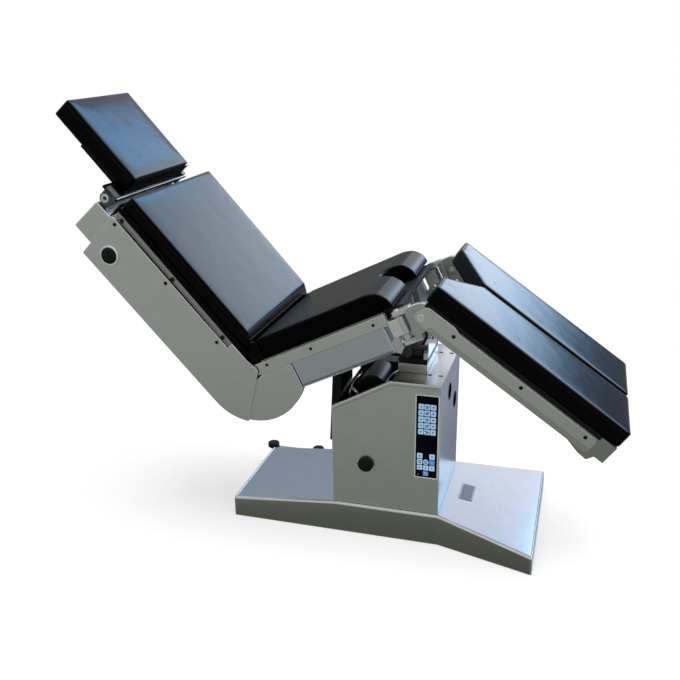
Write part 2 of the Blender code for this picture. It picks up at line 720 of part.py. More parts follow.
def lift(frame):
    low, high = LIFT_FOOT_Z, COL_TOP_Z + COLLAR_T + GAP
    inner = (LIFT_X - LIFT_WALL, LIFT_Y - LIFT_WALL)
    wall = [(-LIFT_X, -LIFT_Y), (LIFT_X, -LIFT_Y), (LIFT_X, LIFT_Y), (-LIFT_X, LIFT_Y)]
    bore = [(-inner[0], -inner[1]), (inner[0], -inner[1]), (inner[0], inner[1]), (-inner[0], inner[1])]
    piece("lift_column", prism(wall, low, high, [bore], "z"), "steel_bright", frame)
    piece("lift_rod", prism(circle((0, 0), ROD_R, 24), ROD_FOOT_Z, high, along="z"), "chrome", frame)
    plate_low = high + GAP
    plate_high = plate_low + HEAD_PLATE_T
    flange = [(-COLLAR_X, -HEAD_PLATE_Y), (COLLAR_X, -HEAD_PLATE_Y), (COLLAR_X, HEAD_PLATE_Y),
              (-COLLAR_X, HEAD_PLATE_Y)]
    head = piece("lift_head", prism(rounded(flange, 0.003, 2), plate_low, plate_high, along="z"),
                 "steel_bright", frame)
    bore = circle((0, TILT_Z), TRUNNION_R + GAP, 24)
    sunk = plate_high - 0.002
    narrow = [(-LUG_R, sunk), (LUG_R, sunk), *arc((0, TILT_Z), LUG_R, 0.0, 180.0, 14)]
    shoulder = FOOT_LUG_TOP
    lift_angle = math.degrees(math.asin((shoulder - TILT_Z) / LUG_R))
    wide = [(-FOOT_LUG_HALF, sunk), (FOOT_LUG_HALF, sunk), (FOOT_LUG_HALF, shoulder),
            *arc((0, TILT_Z), LUG_R, lift_angle, 180.0 - lift_angle, 14), (-FOOT_LUG_HALF, shoulder)]
    inner_x = COLLAR_X - LUG_T
    add(head, prism(narrow, -COLLAR_X, -inner_x, [bore], "x"))
    add(head, prism(wide, inner_x, COLLAR_X, [bore], "x"))


def tilt_cross(frame):
    """Cross of the tilt head: side tilt turns on its X journals, pitch on its Y journals."""
    reach_x = COLLAR_X + 0.001
    reach_y = CHEEK_IN + CHEEK_T + 0.001
    made = piece("tilt_cross", box((-CROSS_X, CROSS_X), (-CROSS_Y, CROSS_Y), (-CROSS_Z, CROSS_Z)), "dark_steel",
                 frame)
    bevel(made, 0.003, 2)
    add(made, prism(circle((0, 0), TRUNNION_R, 24), -reach_x, reach_x, along="x"))
    add(made, prism(circle((0, 0), TRUNNION_R, 24), -reach_y, reach_y))


# Seat section

def seat_saddle(frame):
    """Bracket under the seat: a flange below the seat plate and two cheeks on the pitch journals."""
    top = PLATE_TOP - PLATE_SEAT_T - GAP
    flange_t = 0.010
    made = piece("seat_saddle", box((HINGE_U - CHEEK_HALF_TOP, HINGE_U + CHEEK_HALF_TOP),
                                    (-CHEEK_IN - 0.040, CHEEK_IN + 0.040), (top - flange_t, top)), "cast", frame)
    pivot = (HINGE_U, -HINGE_V)
    cheek = [(HINGE_U - CHEEK_HALF_TOP, top - 0.002), *arc(pivot, CHEEK_R, 180.0, 360.0, 14),
             (HINGE_U + CHEEK_HALF_TOP, top - 0.002)]
    for _, s in SIDES:
        low, high = bar(s, CHEEK_IN, CHEEK_IN + CHEEK_T)
        add(made, prism(cheek, low, high, [circle(pivot, TRUNNION_R + GAP, 24)]))


def seat_plate(frame):
    inner = BEAM_IN - GAP
    step = 0.425
    outline = [(PLATE_HEAD_U, -inner), (step, -inner), (step, -PLATE_NOSE_HALF), (PLATE_FOOT_U, -PLATE_NOSE_HALF),
               (PLATE_FOOT_U, PLATE_NOSE_HALF), (step, PLATE_NOSE_HALF), (step, inner), (PLATE_HEAD_U, inner)]
    piece("seat_plate", prism(outline, PLATE_TOP - PLATE_SEAT_T, PLATE_TOP, along="z"), "dark_steel", frame)


def seat_sides(frame):
    for name, s in SIDES:
        low, high = bar(s, BEAM_IN, BEAM_OUT)
        outline = [*arc((0, 0), EYE_R, 90.0, 270.0, 12), (0.022, BEAM_LOW), (BEAM_FOOT_U, BEAM_LOW),
                   (BEAM_FOOT_U, PLATE_TOP), (0.016, PLATE_TOP)]
        piece(f"seat_beam_{name}", prism(outline, low, high, [circle((0, 0), SHAFT_R + GAP, 20)]), "steel", frame)
        low, high = bar(s, BEAM_OUT + GAP, RAIL_OUT)
        strip = rounded([(RAIL_HEAD_U, RAIL_LOW), (RAIL_FOOT_U, RAIL_LOW), (RAIL_FOOT_U, PLATE_TOP),
                         (RAIL_HEAD_U, PLATE_TOP)], 0.003, 3)
        rail = piece(f"seat_rail_{name}", prism(strip, low, high), "steel", frame)
        bevel(rail, 0.0008, 1, 60.0)


def seat_box(frame):
    """Tray cover below the seat with a notch for the saddle at its foot end."""
    half = BEAM_OUT + GAP
    top = BEAM_LOW - GAP
    u0, u1 = BOX_HEAD_U, BOX_FOOT_U
    n, notch = BOX_NOTCH_HALF, BOX_NOTCH_U
    floor = [(u0, -half), (u1, -half), (u1, -n), (notch, -n), (notch, n), (u1, n), (u1, half), (u0, half)]
    faces = [[(a, b, BOX_LOW) for a, b in floor]]
    walls = [(floor[0], floor[1]), (floor[1], floor[2]), (floor[5], floor[6]), (floor[6], floor[7]),
             (floor[7], floor[0])]
    for a, b in walls:
        faces.append([(*a, BOX_LOW), (*b, BOX_LOW), (*b, top), (*a, top)])
    bm = surface(faces)
    flat = max(bm.faces, key=lambda f: len(f.verts))
    if flat.normal.z > 0:
        bmesh.ops.reverse_faces(bm, faces=bm.faces[:])
    thicken(piece("seat_box", bm, "steel", frame), 0.002)


def hinge_covers(frame):
    """Round sheet covers beside the back hinge, concentric with it."""
    top = RAIL_LOW - 0.002
    end = BOX_HEAD_U - GAP
    start = math.degrees(math.atan2(-math.sqrt(DRUM_R ** 2 - end ** 2), end))
    steps = 20
    rim = arc((0, 0), DRUM_R, start, DRUM_FROM, steps)
    inner = arc((0, 0), 0.026, DRUM_FROM, -60.0, 5)
    outline = [(RAIL_HEAD_U, top), *inner[::-1], *rim[::-1], (end, top)]
    for name, s in SIDES:
        sheet_pan(f"hinge_cover_{name}", outline, [rim[::-1]], s, BEAM_OUT + GAP + SHEET, DRUM_LIP, frame)


def seat_cushion(frame):
    low = PLATE_TOP + GAP
    nose = SEAT_NOSE_U
    head = arc((SEAT_HEAD_U + SEAT_HEAD_R, SEAT_TOP - SEAT_HEAD_R), SEAT_HEAD_R, 90.0, 180.0, 8)
    profile = [(SEAT_HEAD_U, low), (nose, low), (nose - 0.010, SEAT_TOP - 0.0305), (nose - 0.024, SEAT_TOP - 0.010),
               (nose - 0.058, SEAT_TOP), *head]
    outline = rounded(profile, [0.004, 0.004, 0.012, 0.018, 0.02] + [0.0] * len(head), 3)
    made = piece("seat_cushion", prism(outline, -SEAT_HALF, SEAT_HALF), "leather", frame)
    lobe = [*arc((CUT_U, 0.0), CUT_R, 90.0, 270.0, 16), (nose + 0.02, -CUT_R), (nose + 0.02, CUT_R)]
    cut(made, prism(lobe, -0.02, SEAT_TOP + 0.03, along="z"))


def back_shaft(frame):
    reach = BEAM_OUT - GAP
    piece("back_shaft", prism(circle((0, 0), SHAFT_R, 20), -reach, reach), "chrome", frame)


def leg_blocks(frame):
    """Hinge block on each side at the foot end of the seat, with its gusset."""
    for name, s in SIDES:
        y0, y1 = bar(s, PIN_Y - BLOCK_HALF_T, PIN_Y + BLOCK_HALF_T)
        centre = (HIP_U, s * PIN_Y)
        reach = BLOCK_HALF_T
        plan = [(BEAM_FOOT_U + GAP, y0), *arc(centre, reach, -90.0, 90.0, 14), (BEAM_FOOT_U + GAP, y1)]
        made = piece(f"leg_block_{name}",
                     prism(plan, BLOCK_LOW, BLOCK_TOP, [circle(centre, HIP_PIN_R + GAP, 20)], "z"),
                     "cast", frame)
        gusset = [(0.4176, -0.070), (0.4176, -0.0965), (0.4290, -0.1050), (0.4440, -0.0900),
                  (0.4440, BLOCK_LOW + 0.004), (0.4340, BLOCK_LOW + 0.004)]
        low, high = bar(s, PIN_Y + 0.003, PIN_Y + 0.013)
        add(made, prism(gusset, low, high))


# Back section

def back_arms(frame):
    for name, s in SIDES:
        low, high = bar(s, ARM_IN, ARM_IN + ARM_T)
        top = BACK_LOW - GAP - BOARD_T - GAP
        outline = [(ARM_HEAD_U, ARM_LOW), (-0.040, ARM_LOW), *arc((0, 0), EYE_R, 250.0, 450.0, 14),
                   (-0.020, top), (ARM_HEAD_U, top)]
        piece(f"back_arm_{name}", prism(outline, low, high, [circle((0, 0), SHAFT_R + GAP, 20)]), "steel", frame)


def back_board(frame):
    top = BACK_LOW - GAP
    piece("back_board", box((BACK_HEAD_U + 0.003, BACK_FOOT_U - 0.004), (-BOARD_HALF, BOARD_HALF),
                            (top - BOARD_T, top)), "dark_steel", frame)


def back_box(frame):
    """Tray housing between the arms; its head end stands out and is closed on top."""
    top = BACK_LOW - GAP - BOARD_T - GAP
    half = BACK_BOX_HALF
    u0, u1, step = BACK_BOX_HEAD_U, BACK_BOX_FOOT_U, BACK_HEAD_U - 0.004
    low, lid = BACK_BOX_LOW, BACK_BOX_TOP
    faces = [[(u0, -half, low), (u1, -half, low), (u1, half, low), (u0, half, low)],
             [(u0, -half, low), (u0, half, low), (u0, half, lid), (u0, -half, lid)],
             [(u1, -half, low), (u1, half, low), (u1, half, top), (u1, -half, top)],
             [(u0, -half, lid), (step, -half, lid), (step, half, lid), (u0, half, lid)],
             [(step, -half, lid), (step, -half, top), (step, half, top), (step, half, lid)]]
    for s in (-1.0, 1.0):
        y = s * half
        faces.append([(u0, y, low), (u0, y, lid), (step, y, lid), (step, y, top), (u1, y, top), (u1, y, low)])
    bm = surface(faces)
    flat = min(bm.faces, key=lambda f: f.calc_center_median().z)
    if flat.normal.z > 0:
        bmesh.ops.reverse_faces(bm, faces=bm.faces[:])
    made = piece("back_box", bm, "steel", frame)
    thicken(made, 0.002)
    pivot = (HEAD_AXIS_U, HEAD_AXIS_V)
    lug = [(HEAD_AXIS_U - HEAD_LUG_R, lid - 0.001), *arc(pivot, HEAD_LUG_R, 180.0, 0.0, 12),
           (HEAD_AXIS_U + HEAD_LUG_R, lid - 0.001)]
    for _, s in SIDES:
        low_y, high_y = bar(s, HEAD_LUG_IN, HEAD_LUG_IN + HEAD_LUG_T)
        add(made, prism(lug, low_y, high_y, [circle(pivot, SHAFT_R + GAP, 20)]))


def cover_outline():
    """Side cover of the back section: long sheet that ends in a quadrant about the back hinge."""
    seam = -48.4
    boss = 0.0175
    step = BACK_FOOT_U - 0.004
    top = [(BACK_HEAD_U + 0.001, -0.0130), (step, -0.0100), (step, 0.0105), (-0.037, 0.0110)]
    nose = arc((0, 0), boss, 118.0, 43.0, 6)
    quadrant = arc((0, 0), COVER_R, seam, -90.0, 12)
    tail = [(ARM_HEAD_U, COVER_HEAD_V)]
    rim = [*quadrant, *tail][::-1]
    return rim + (top + nose)[::-1], rim


def back_covers(frame):
    outline, rim = cover_outline()
    for name, s in SIDES:
        made = sheet_pan(f"back_cover_{name}", outline, [rim], s, COVER_OUT, COVER_LIP, frame)
        for u in BACK_SCREWS_U:
            low, high = bar(s, ARM_IN + ARM_T + GAP, COVER_OUT - SHEET * 0.5)
            add(made, prism(circle((u, BACK_SCREW_V), BOSS_R, 12), low, high))


def back_rails(frame):
    for name, s in SIDES:
        low, high = bar(s, BACK_RAIL_IN, BACK_RAIL_OUT)
        ends = (BACK_HEAD_U + 0.007, BACK_FOOT_U - 0.004)
        strip = [(ends[0], BACK_RAIL_V[0]), (ends[1], BACK_RAIL_V[0]), (ends[1], BACK_RAIL_V[1]),
                 (ends[0], BACK_RAIL_V[1])]
        made = piece(f"back_rail_{name}", prism(strip, low, high), "steel", frame)
        for u in RAIL_FIX_U:
            low, high = bar(s, ARM_IN + ARM_T + GAP, BACK_RAIL_IN + 0.002)
            add(made, prism(circle((u, -0.0005), 0.0055, 12), low, high))


def back_cushion(frame):
    """Cushion whose foot end slopes, so that it clears the seat when the back is up."""
    end = [(BACK_FOOT_U + du, BACK_TOP + dv) for du, dv in BACK_SLOPE]
    profile = [(BACK_HEAD_U, BACK_LOW), end[1], end[0], (BACK_FOOT_U, BACK_TOP), (BACK_HEAD_U, BACK_TOP)]
    outline = rounded(profile, [0.004, 0.004, 0.012, 0.006, 0.006], 3)
    piece("back_cushion", prism(outline, -BACK_HALF, BACK_HALF), "leather", frame)


def lock_knob(frame):
    face = -COVER_OUT - GAP
    hub = axis("lock_axis", frame[0], (LOCK_U, face, LOCK_V))
    profile = [(LOCK_R + 0.0006, 0.0), (LOCK_RING_R, 0.0), (LOCK_RING_R, -LOCK_RING_T + 0.001),
               (LOCK_RING_R - 0.001, -LOCK_RING_T), (LOCK_R + 0.0006, -LOCK_RING_T)]
    ring = bmesh.new()
    verts = [ring.verts.new((r, y, 0.0)) for r, y in profile]
    edges = [ring.edges.new((verts[i - 1], verts[i])) for i in range(len(verts))]
    bmesh.ops.spin(ring, geom=verts + edges, cent=(0, 0, 0), axis=(0, 1, 0), angle=math.tau, steps=32,
                   use_merge=True)
    bmesh.ops.remove_doubles(ring, verts=ring.verts[:], dist=1e-6)
    bmesh.ops.recalc_face_normals(ring, faces=ring.faces[:])
    piece("knob_ring", ring, "steel_bright", (hub, (0, 0, 0)))
    piece("back_knob", turned(knob_profile(LOCK_R, LOCK_L, SPINDLE_R, -0.0001), 32), "black_plastic",
          (hub, (0, 0, 0)))


# Headrest

def headrest(frame, back_frame):
    top = HEAD_LOW - GAP
    low = HEAD_AXIS_V + HEAD_LUG_R + 0.0008
    bar_half = HEAD_LUG_IN + HEAD_LUG_T + GAP + HEAD_BLOCK_T
    plate_half = HEAD_HALF - 0.010
    near, far = HEAD_AXIS_U + 0.016, HEAD_AXIS_U - 0.030
    plan = [(HEAD_PLATE_U, -plate_half), (far, -plate_half), (far, -bar_half), (near, -bar_half),
            (near, bar_half), (far, bar_half), (far, plate_half), (HEAD_PLATE_U, plate_half)]
    made = piece("head_frame", prism(plan, low, top, along="z"), "cast", frame)
    pivot = (HEAD_AXIS_U, HEAD_AXIS_V)
    head_u = HEAD_AXIS_U - 0.018
    block = [(head_u, 0.0108), (head_u, HEAD_AXIS_V + 0.004), *arc(pivot, 0.0178, 160.0, 290.0, 10),
             (HEAD_AXIS_U + 0.0225, -0.0360), (HEAD_AXIS_U + 0.0205, 0.0108)]
    for _, s in SIDES:
        low_y, high_y = bar(s, HEAD_LUG_IN + HEAD_LUG_T + GAP, bar_half)
        add(made, prism(block, low_y, high_y, [circle(pivot, SHAFT_R + GAP, 20)]))
    reach = bar_half - 0.004
    piece("head_shaft", prism(circle(pivot, SHAFT_R, 20), -reach, reach), "chrome", back_frame)
    pad = piece("head_cushion", box((HEAD_HEAD_U, HEAD_FOOT_U), (-HEAD_HALF, HEAD_HALF), (HEAD_LOW, HEAD_TOP)),
                "leather", frame)
    bevel(pad, 0.009, 2)


# Leg sections

def leg_clevis(name, s, frame):
    """Clevis on the hip pin with the knuckle of the knee joint."""
    y0, y1 = bar(s, PIN_Y - BLOCK_HALF_T, PIN_Y + BLOCK_HALF_T - 0.0040)
    foot = CLEVIS_FOOT_U
    inner = HIP_U + BLOCK_HALF_T + 0.0065
    head_top, head_low = 0.452, 0.449
    outline = [(head_top, CLEVIS_TOP), (head_top, CLEVIS_TOP - CLEVIS_BAR), (inner, CLEVIS_TOP - CLEVIS_BAR),
               (inner, CLEVIS_LOW + CLEVIS_BAR), (head_low, CLEVIS_LOW + CLEVIS_BAR), (head_low, CLEVIS_LOW),
               (foot, CLEVIS_LOW), (foot, CLEVIS_TOP)]
    made = piece(f"leg_clevis_{name}", prism(outline, y0, y1), "cast", frame)
    cut(made, prism(circle((HIP_U, s * PIN_Y), HIP_PIN_R + GAP, 20), CLEVIS_LOW - 0.01, CLEVIS_TOP + 0.01,
                    along="z"))
    knee = (KNEE_U, KNEE_V)
    top = CLEVIS_TOP - 0.002
    rise = math.degrees(math.asin((top - KNEE_V) / KNUCKLE_R)) if top - KNEE_V < KNUCKLE_R else 90.0
    knuckle = [(foot - 0.002, top if rise < 90.0 else KNEE_V + KNUCKLE_R), *arc(knee, KNUCKLE_R, rise, -80.0, 14),
               (foot - 0.002, -0.0720)]
    low, high = bar(s, KNUCKLE_IN, KNUCKLE_OUT)
    add(made, prism(knuckle, low, high))
    low, high = bar(s, KNUCKLE_IN - LEG_CHEEK_T - 0.0008, LEG_PLATE_OUT + 0.0008)
    add(made, prism(circle(knee, KNEE_PIN_R, 20), low, high))
    pin = circle((HIP_U, s * PIN_Y), HIP_PIN_R, 20)
    piece(f"hip_pin_{name}", prism(pin, CLEVIS_LOW - 0.003, CLEVIS_TOP - 0.0005, along="z"), "chrome", frame)


def leg_section(name, s, frame):
    # sheet tray that carries the cushion
    u0, u1 = LEG_FRAME_U
    outer, inner = s * LEG_TRAY_OUT, s * LEG_TRAY_IN
    low, top = LEG_WALL_LOW, LEG_TRAY_TOP
    lip = top - 0.018
    faces = [[(u0, inner, top), (u1, inner, top), (u1, outer, top), (u0, outer, top)],
             [(u0, outer, top), (u1, outer, top), (u1, outer, low), (u0, outer, low)],
             [(u0, inner, top), (u1, inner, top), (u1, inner, lip), (u0, inner, lip)],
             [(u1, inner, top), (u1, outer, top), (u1, outer, low), (u1, inner, lip)]]
    bm = surface(faces)
    flat = max(bm.faces, key=lambda f: f.calc_center_median().z)
    if flat.normal.z < 0:
        bmesh.ops.reverse_faces(bm, faces=bm.faces[:])
    tray = thicken(piece(f"leg_tray_{name}", bm, "steel", frame))
    # side plate outside the knuckle and tray
    bore = circle((0, 0), KNEE_PIN_R + GAP, 20)
    shape = [*arc((0, 0), 0.0175, 130.0, 235.0, 8), (0.030, LEG_LOW), (LEG_PLATE_FOOT_U, LEG_LOW),
             (LEG_PLATE_FOOT_U, 0.0280), (0.110, 0.0280), (0.085, 0.0365), (0.002, 0.0365)]
    corner = rounded([(0.030, LEG_LOW), (LEG_PLATE_FOOT_U, LEG_LOW), (LEG_PLATE_FOOT_U, 0.0280), (0.110, 0.0280),
                      (0.085, 0.0365), (0.002, 0.0365)], [0, 0.010, 0.010, 0, 0, 0.006], 4)
    shape = [*arc((0, 0), 0.0175, 130.0, 235.0, 8), *corner]
    low_y, high_y = bar(s, LEG_PLATE_IN, LEG_PLATE_OUT)
    piece(f"leg_rail_{name}", prism(shape, low_y, high_y, [bore]), "steel", frame)
    # inner cheek below the tray, from the knee pin
    under = top - SHEET * 0.5
    cheek = [*arc((0, 0), 0.0175, 120.0, 270.0, 10), (0.100, -0.0160), (LEG_CHEEK_FOOT_U, under - 0.020),
             (LEG_CHEEK_FOOT_U, under), (u0 + 0.004, under)]
    low_y, high_y = bar(s, KNUCKLE_IN - GAP - LEG_CHEEK_T, KNUCKLE_IN - GAP)
    add(tray, prism(cheek, low_y, high_y, [bore]))
    # accessory socket below the foot end
    a, b, c, d = SOCKET_U
    inside = top - SHEET * 0.5
    socket = [(a, low), (b, SOCKET_LOW + 0.0014), (c, SOCKET_LOW), (d, low), (d, inside), (a, inside)]
    add(tray, prism(socket, *bar(s, *SOCKET_Y)))
    # cushion with its inner knee corner cut off
    y_in, y_out = s * LEG_CUSHION_IN, s * LEG_CUSHION_OUT
    plan = [(LEG_CUSHION_U[0], s * LEG_CHAMFER_Y), (LEG_CHAMFER_U, y_in), (LEG_CUSHION_U[1], y_in),
            (LEG_CUSHION_U[1], y_out), (LEG_CUSHION_U[0], y_out)]
    pad = piece(f"leg_cushion_{name}", prism(plan, LEG_CUSHION_LOW, LEG_CUSHION_TOP, along="z"), "leather", frame)
    bevel(pad, 0.009, 2)


def build():
    clear_scene()
    base_cover()
    base_plate()
    column_panels()
    column_end_panel()
    column_top_plate()
    column_head_panel()
    drive_housing()
    power_unit()
    guide()
    lift_cylinder()
    keypad()
    column_knob()
    pedal()
    lift_axis = axis("lift_axis", None, (0, 0, 0))
    lift((lift_axis, (0, 0, 0)))
    side_axis = axis("side_tilt_axis", lift_axis, (0, 0, TILT_Z))
    tilt_cross((side_axis, (0, 0, 0)))
    pitch_axis = axis("pitch_axis", side_axis, (0, 0, 0), -SEAT_PITCH)
    seat = (pitch_axis, (-HINGE_U, 0, HINGE_V))
    for make in (seat_saddle, seat_plate, seat_sides, seat_box, hinge_covers, seat_cushion, back_shaft,
                 leg_blocks):
        make(seat)
    back_axis = axis("back_axis", pitch_axis, (-HINGE_U, 0, HINGE_V), BACK_FOLD)
    back = (back_axis, (0, 0, 0))
    for make in (back_arms, back_board, back_box, back_covers, back_rails, back_cushion, lock_knob):
        make(back)
    head_axis = axis("head_axis", back_axis, (HEAD_AXIS_U, 0, HEAD_AXIS_V))
    headrest((head_axis, (-HEAD_AXIS_U, 0, -HEAD_AXIS_V)), back)
    for name, s in SIDES:
        hip = axis(f"hip_axis_{name}", pitch_axis, (HIP_U - HINGE_U, s * PIN_Y, HINGE_V))
        leg_clevis(name, s, (hip, (-HIP_U, -s * PIN_Y, 0)))
        knee = axis(f"knee_axis_{name}", hip, (KNEE_U - HIP_U, 0, KNEE_V), LEG_DROP)
        leg_section(name, s, (knee, (0, -s * PIN_Y, 0)))
    bpy.context.view_layer.update()


build()
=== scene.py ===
"""Looks of an operating table in its chair position: cushions, sheet covers, rails, keypad and studio.

Metres, +Z up, +X towards the foot end, -Y is the side the camera sees.  Every new piece is written
in the row frame and its object stays at the origin.
"""

import json
import math

import bmesh
import bpy
import numpy as np
from mathutils import Matrix, Vector
from mathutils.bvhtree import BVHTree
from mathutils.geometry import tessellate_polygon


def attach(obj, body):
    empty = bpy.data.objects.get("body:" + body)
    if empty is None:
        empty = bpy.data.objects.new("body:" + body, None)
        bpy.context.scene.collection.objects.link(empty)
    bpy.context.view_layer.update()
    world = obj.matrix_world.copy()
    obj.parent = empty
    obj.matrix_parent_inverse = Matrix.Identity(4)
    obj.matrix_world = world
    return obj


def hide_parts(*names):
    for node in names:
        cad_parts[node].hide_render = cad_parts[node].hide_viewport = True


bl_info = {
    "name": "Operating table looks",
    "version": (1, 0, 0),
    "blender": (4, 5, 0),
    "location": "3D View > Sidebar > Table",
    "description": "Builds the visible surfaces of an operating table around its CAD frame",
    "category": "Object",
}

# Angles of the sections above the floor, in radians; a positive one rises to the foot end
SLOPES = {
    "world": 0.0,
    "seat": math.radians(25.9),
    "back": math.radians(-48.4),
    "leg": math.radians(-35.1),
    "ramp": math.atan2(0.0575 - 0.0993, 0.3855 - 0.102),
}
SIDES = (("right", -1.0), ("left", 1.0))

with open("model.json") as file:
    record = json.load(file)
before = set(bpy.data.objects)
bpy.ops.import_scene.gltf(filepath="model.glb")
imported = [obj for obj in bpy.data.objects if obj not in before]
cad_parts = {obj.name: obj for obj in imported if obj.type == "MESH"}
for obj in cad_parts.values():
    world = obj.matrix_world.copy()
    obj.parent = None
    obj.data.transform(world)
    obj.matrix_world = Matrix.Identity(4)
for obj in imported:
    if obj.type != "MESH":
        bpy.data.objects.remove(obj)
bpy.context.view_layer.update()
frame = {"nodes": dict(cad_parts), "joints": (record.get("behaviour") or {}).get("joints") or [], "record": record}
state = {}


# Sizes and colours that a user may change

def length(name, description, default):
    """A length in metres."""
    return bpy.props.FloatProperty(name=name, description=description, default=default, min=0.0,
                                   precision=4, subtype="DISTANCE", unit="LENGTH")


def shade(name, description, default):
    """A colour."""
    return bpy.props.FloatVectorProperty(name=name, description=description, default=default, size=3,
                                         min=0.0, max=1.0, subtype="COLOR")


class TABLE_PG_sizes(bpy.types.PropertyGroup):
    """Sizes of the cushions, the sheet metal and the small parts"""
    cushion_inset: length("Cushion inset", "How far a cushion starts inside its final size", 0.0014)
    cushion_swell: length("Cushion swell", "Furthest way that the pressure moves a cushion's surface", 0.0008)
    seam_level: length("Seam level", "Distance of a cushion's seam below its top", 0.0125)
    seam_depth: length("Seam depth", "How far a seam pulls the cushion's side in", 0.0008)
    seam_radius: length("Seam radius", "Radius of the seam's cord", 0.0011)
    seat_roll: length("Seat roll", "Radius of the seat cushion's rear edge", 0.045)
    seat_notch: length("Seat notch", "Radius of the round cut-out at the seat's foot end", 0.0625)
    sheet: length("Sheet", "Thickness of the folded covers", 0.0022)
    screw_head: length("Screw head", "Radius of the cover screws' heads", 0.0055)
    screw_rise: length("Screw rise", "Height of the cover screws' heads", 0.0028)
    port: length("Port", "Radius of the two ports in the end panel", 0.026)
    keypad_frame: length("Keypad frame", "Width of the frame round the keypad", 0.0035)
    grip: length("Grip", "Radius of the two round knobs", 0.0232)
    pipe: length("Pipe", "Radius of the pipes in the column's open top", 0.004)


class TABLE_PG_colours(bpy.types.PropertyGroup):
    """Colours of the finishes"""
    steel: shade("Steel", "Brushed covers of the column, the seat, the back and the legs",
                 (0.63, 0.635, 0.62))
    steel_base: shade("Base steel", "Smoother sheet of the base", (0.57, 0.57, 0.57))
    steel_tray: shade("Tray steel", "Tray cover below the seat", (0.55, 0.58, 0.63))
    cast: shade("Castings", "Leg hinges and lugs", (0.50, 0.51, 0.48))
    rail: shade("Rails", "Dull rails beside the back cushion", (0.27, 0.275, 0.25))
    leather: shade("Leather", "Coated upholstery of the five cushions", (0.0007, 0.0005, 0.0005))
    plastic: shade("Plastic", "Knobs and housings", (0.0025, 0.0025, 0.003))
    rubber: shade("Rubber", "Pedal pads and port liners", (0.006, 0.006, 0.007))
    keypad: shade("Keypad", "Foil of the keypad", (0.0006, 0.0007, 0.0036))
    key: shade("Blue key", "Darker print of the keypad", (0.10, 0.24, 0.50))
    key_pale: shade("Pale key", "Paler print of the keypad", (0.34, 0.55, 0.76))


class TABLE_PG_studio(bpy.types.PropertyGroup):
    """Camera and light"""
    lens: bpy.props.FloatProperty(name="Lens", description="Focal length of the camera", default=44.66,
                                  min=1.0, unit="CAMERA")
    sky_power: bpy.props.FloatProperty(name="Sky panel", description="Power of the panel above the table",
                                       default=330.0, min=0.0, unit="POWER")
    front_power: bpy.props.FloatProperty(name="Front panel", description="Power of the panel in front",
                                         default=40.0, min=0.0, unit="POWER")
    room_power: bpy.props.FloatProperty(name="Room", description="Brightest light that the metal reflects",
                                        default=6.0, min=0.1)


def size(name):
    """A size of the scene's settings, in metres."""
    return round(getattr(bpy.context.scene.table_sizes, name), 6)


def colour(name):
    """A colour of the scene's settings."""
    return tuple(round(part, 6) for part in getattr(bpy.context.scene.table_colours, name))


def studio(name):
    """A value of the studio's settings."""
    return round(getattr(bpy.context.scene.table_studio, name), 4)


# Frames and surfaces

def joint(name):
    """A joint of the frame by its name."""
    return next(j for j in frame["joints"] if j["name"] == name)


def origins():
    """Origin (x, z) of each section's own frame: the back hinge, the knee and the foot slope of the base."""
    hinge = joint("back_fold")["pos_m"]
    knee = joint("knee_right_fold")["pos_m"]
    return {
        "world": (0.0, 0.0),
        "seat": (hinge[0], hinge[2]),
        "back": (hinge[0], hinge[2]),
        "leg": (knee[0], knee[2]),
        "ramp": (0.102, 0.0993),
    }


def to_world(points, section):
    """Points (u, y, v) of a section in the row frame.

    x = x0 + u cos a - v sin a and z = z0 + u sin a + v cos a, with the section's slope a.
    """
    points = np.asarray(points, float)
    x0, z0 = origins()[section]
    c, s = math.cos(SLOPES[section]), math.sin(SLOPES[section])
    u, y, v = points[:, 0], points[:, 1], points[:, 2]
    return np.column_stack((x0 + u * c - v * s, y, z0 + u * s + v * c))


def arc(centre, radius, start, end, steps):
    """Points on an arc, with its angles in degrees."""
    t = np.radians(np.linspace(start, end, steps + 1))
    return np.column_stack((centre[0] + radius * np.cos(t), centre[1] + radius * np.sin(t)))


def circle(centre, radius, steps=32):
    """Points on a full circle."""
    return arc(centre, radius, 0.0, 360.0 - 360.0 / steps, steps - 1)


def rounded(points, radii, steps=5):
    """Outline with circular corners: each corner p gives centre c = p + b r / sin(h), b the bisector."""
    if np.isscalar(radii):
        radii = [radii] * len(points)
    out = []
    for i, (p, r) in enumerate(zip(points, radii)):
        p = np.asarray(p, float)
        a = np.asarray(points[i - 1], float) - p
        b = np.asarray(points[(i + 1) % len(points)], float) - p
        la, lb = np.hypot(*a), np.hypot(*b)
        a, b = a / la, b / lb
        half = math.acos(max(-1.0, min(1.0, float(a @ b)))) / 2.0
        if r <= 0 or abs(half - math.pi / 2) < 0.01:
            out.append(p)
            continue
        run = min(r / math.tan(half), 0.48 * la, 0.48 * lb)
        r = run * math.tan(half)
        c = p + (a + b) / np.hypot(*(a + b)) * r / math.sin(half)
        first, last = p + a * run - c, p + b * run - c
        t0, t1 = math.atan2(first[1], first[0]), math.atan2(last[1], last[0])
        d = (t1 - t0 + math.pi) % (2 * math.pi) - math.pi
        t = t0 + d * np.linspace(0.0, 1.0, steps + 1)
        out += list(c + r * np.column_stack((np.cos(t), np.sin(t))))
    return np.array(out)


def rectangle(a, b, radius=0.0, steps=4):
    """Outline of a rectangle from its two spans, with rounded corners where there is a radius."""
    corners = [(a[0], b[0]), (a[1], b[0]), (a[1], b[1]), (a[0], b[1])]
    return rounded(corners, radius, steps) if radius else np.array(corners, float)


def signed_area(outline):
    """Half the sum of x dy - y dx round the outline, above zero where it turns left."""
    x, y = outline[:, 0], outline[:, 1]
    return 0.5 * float(np.sum(x * np.roll(y, -1) - np.roll(x, -1) * y))


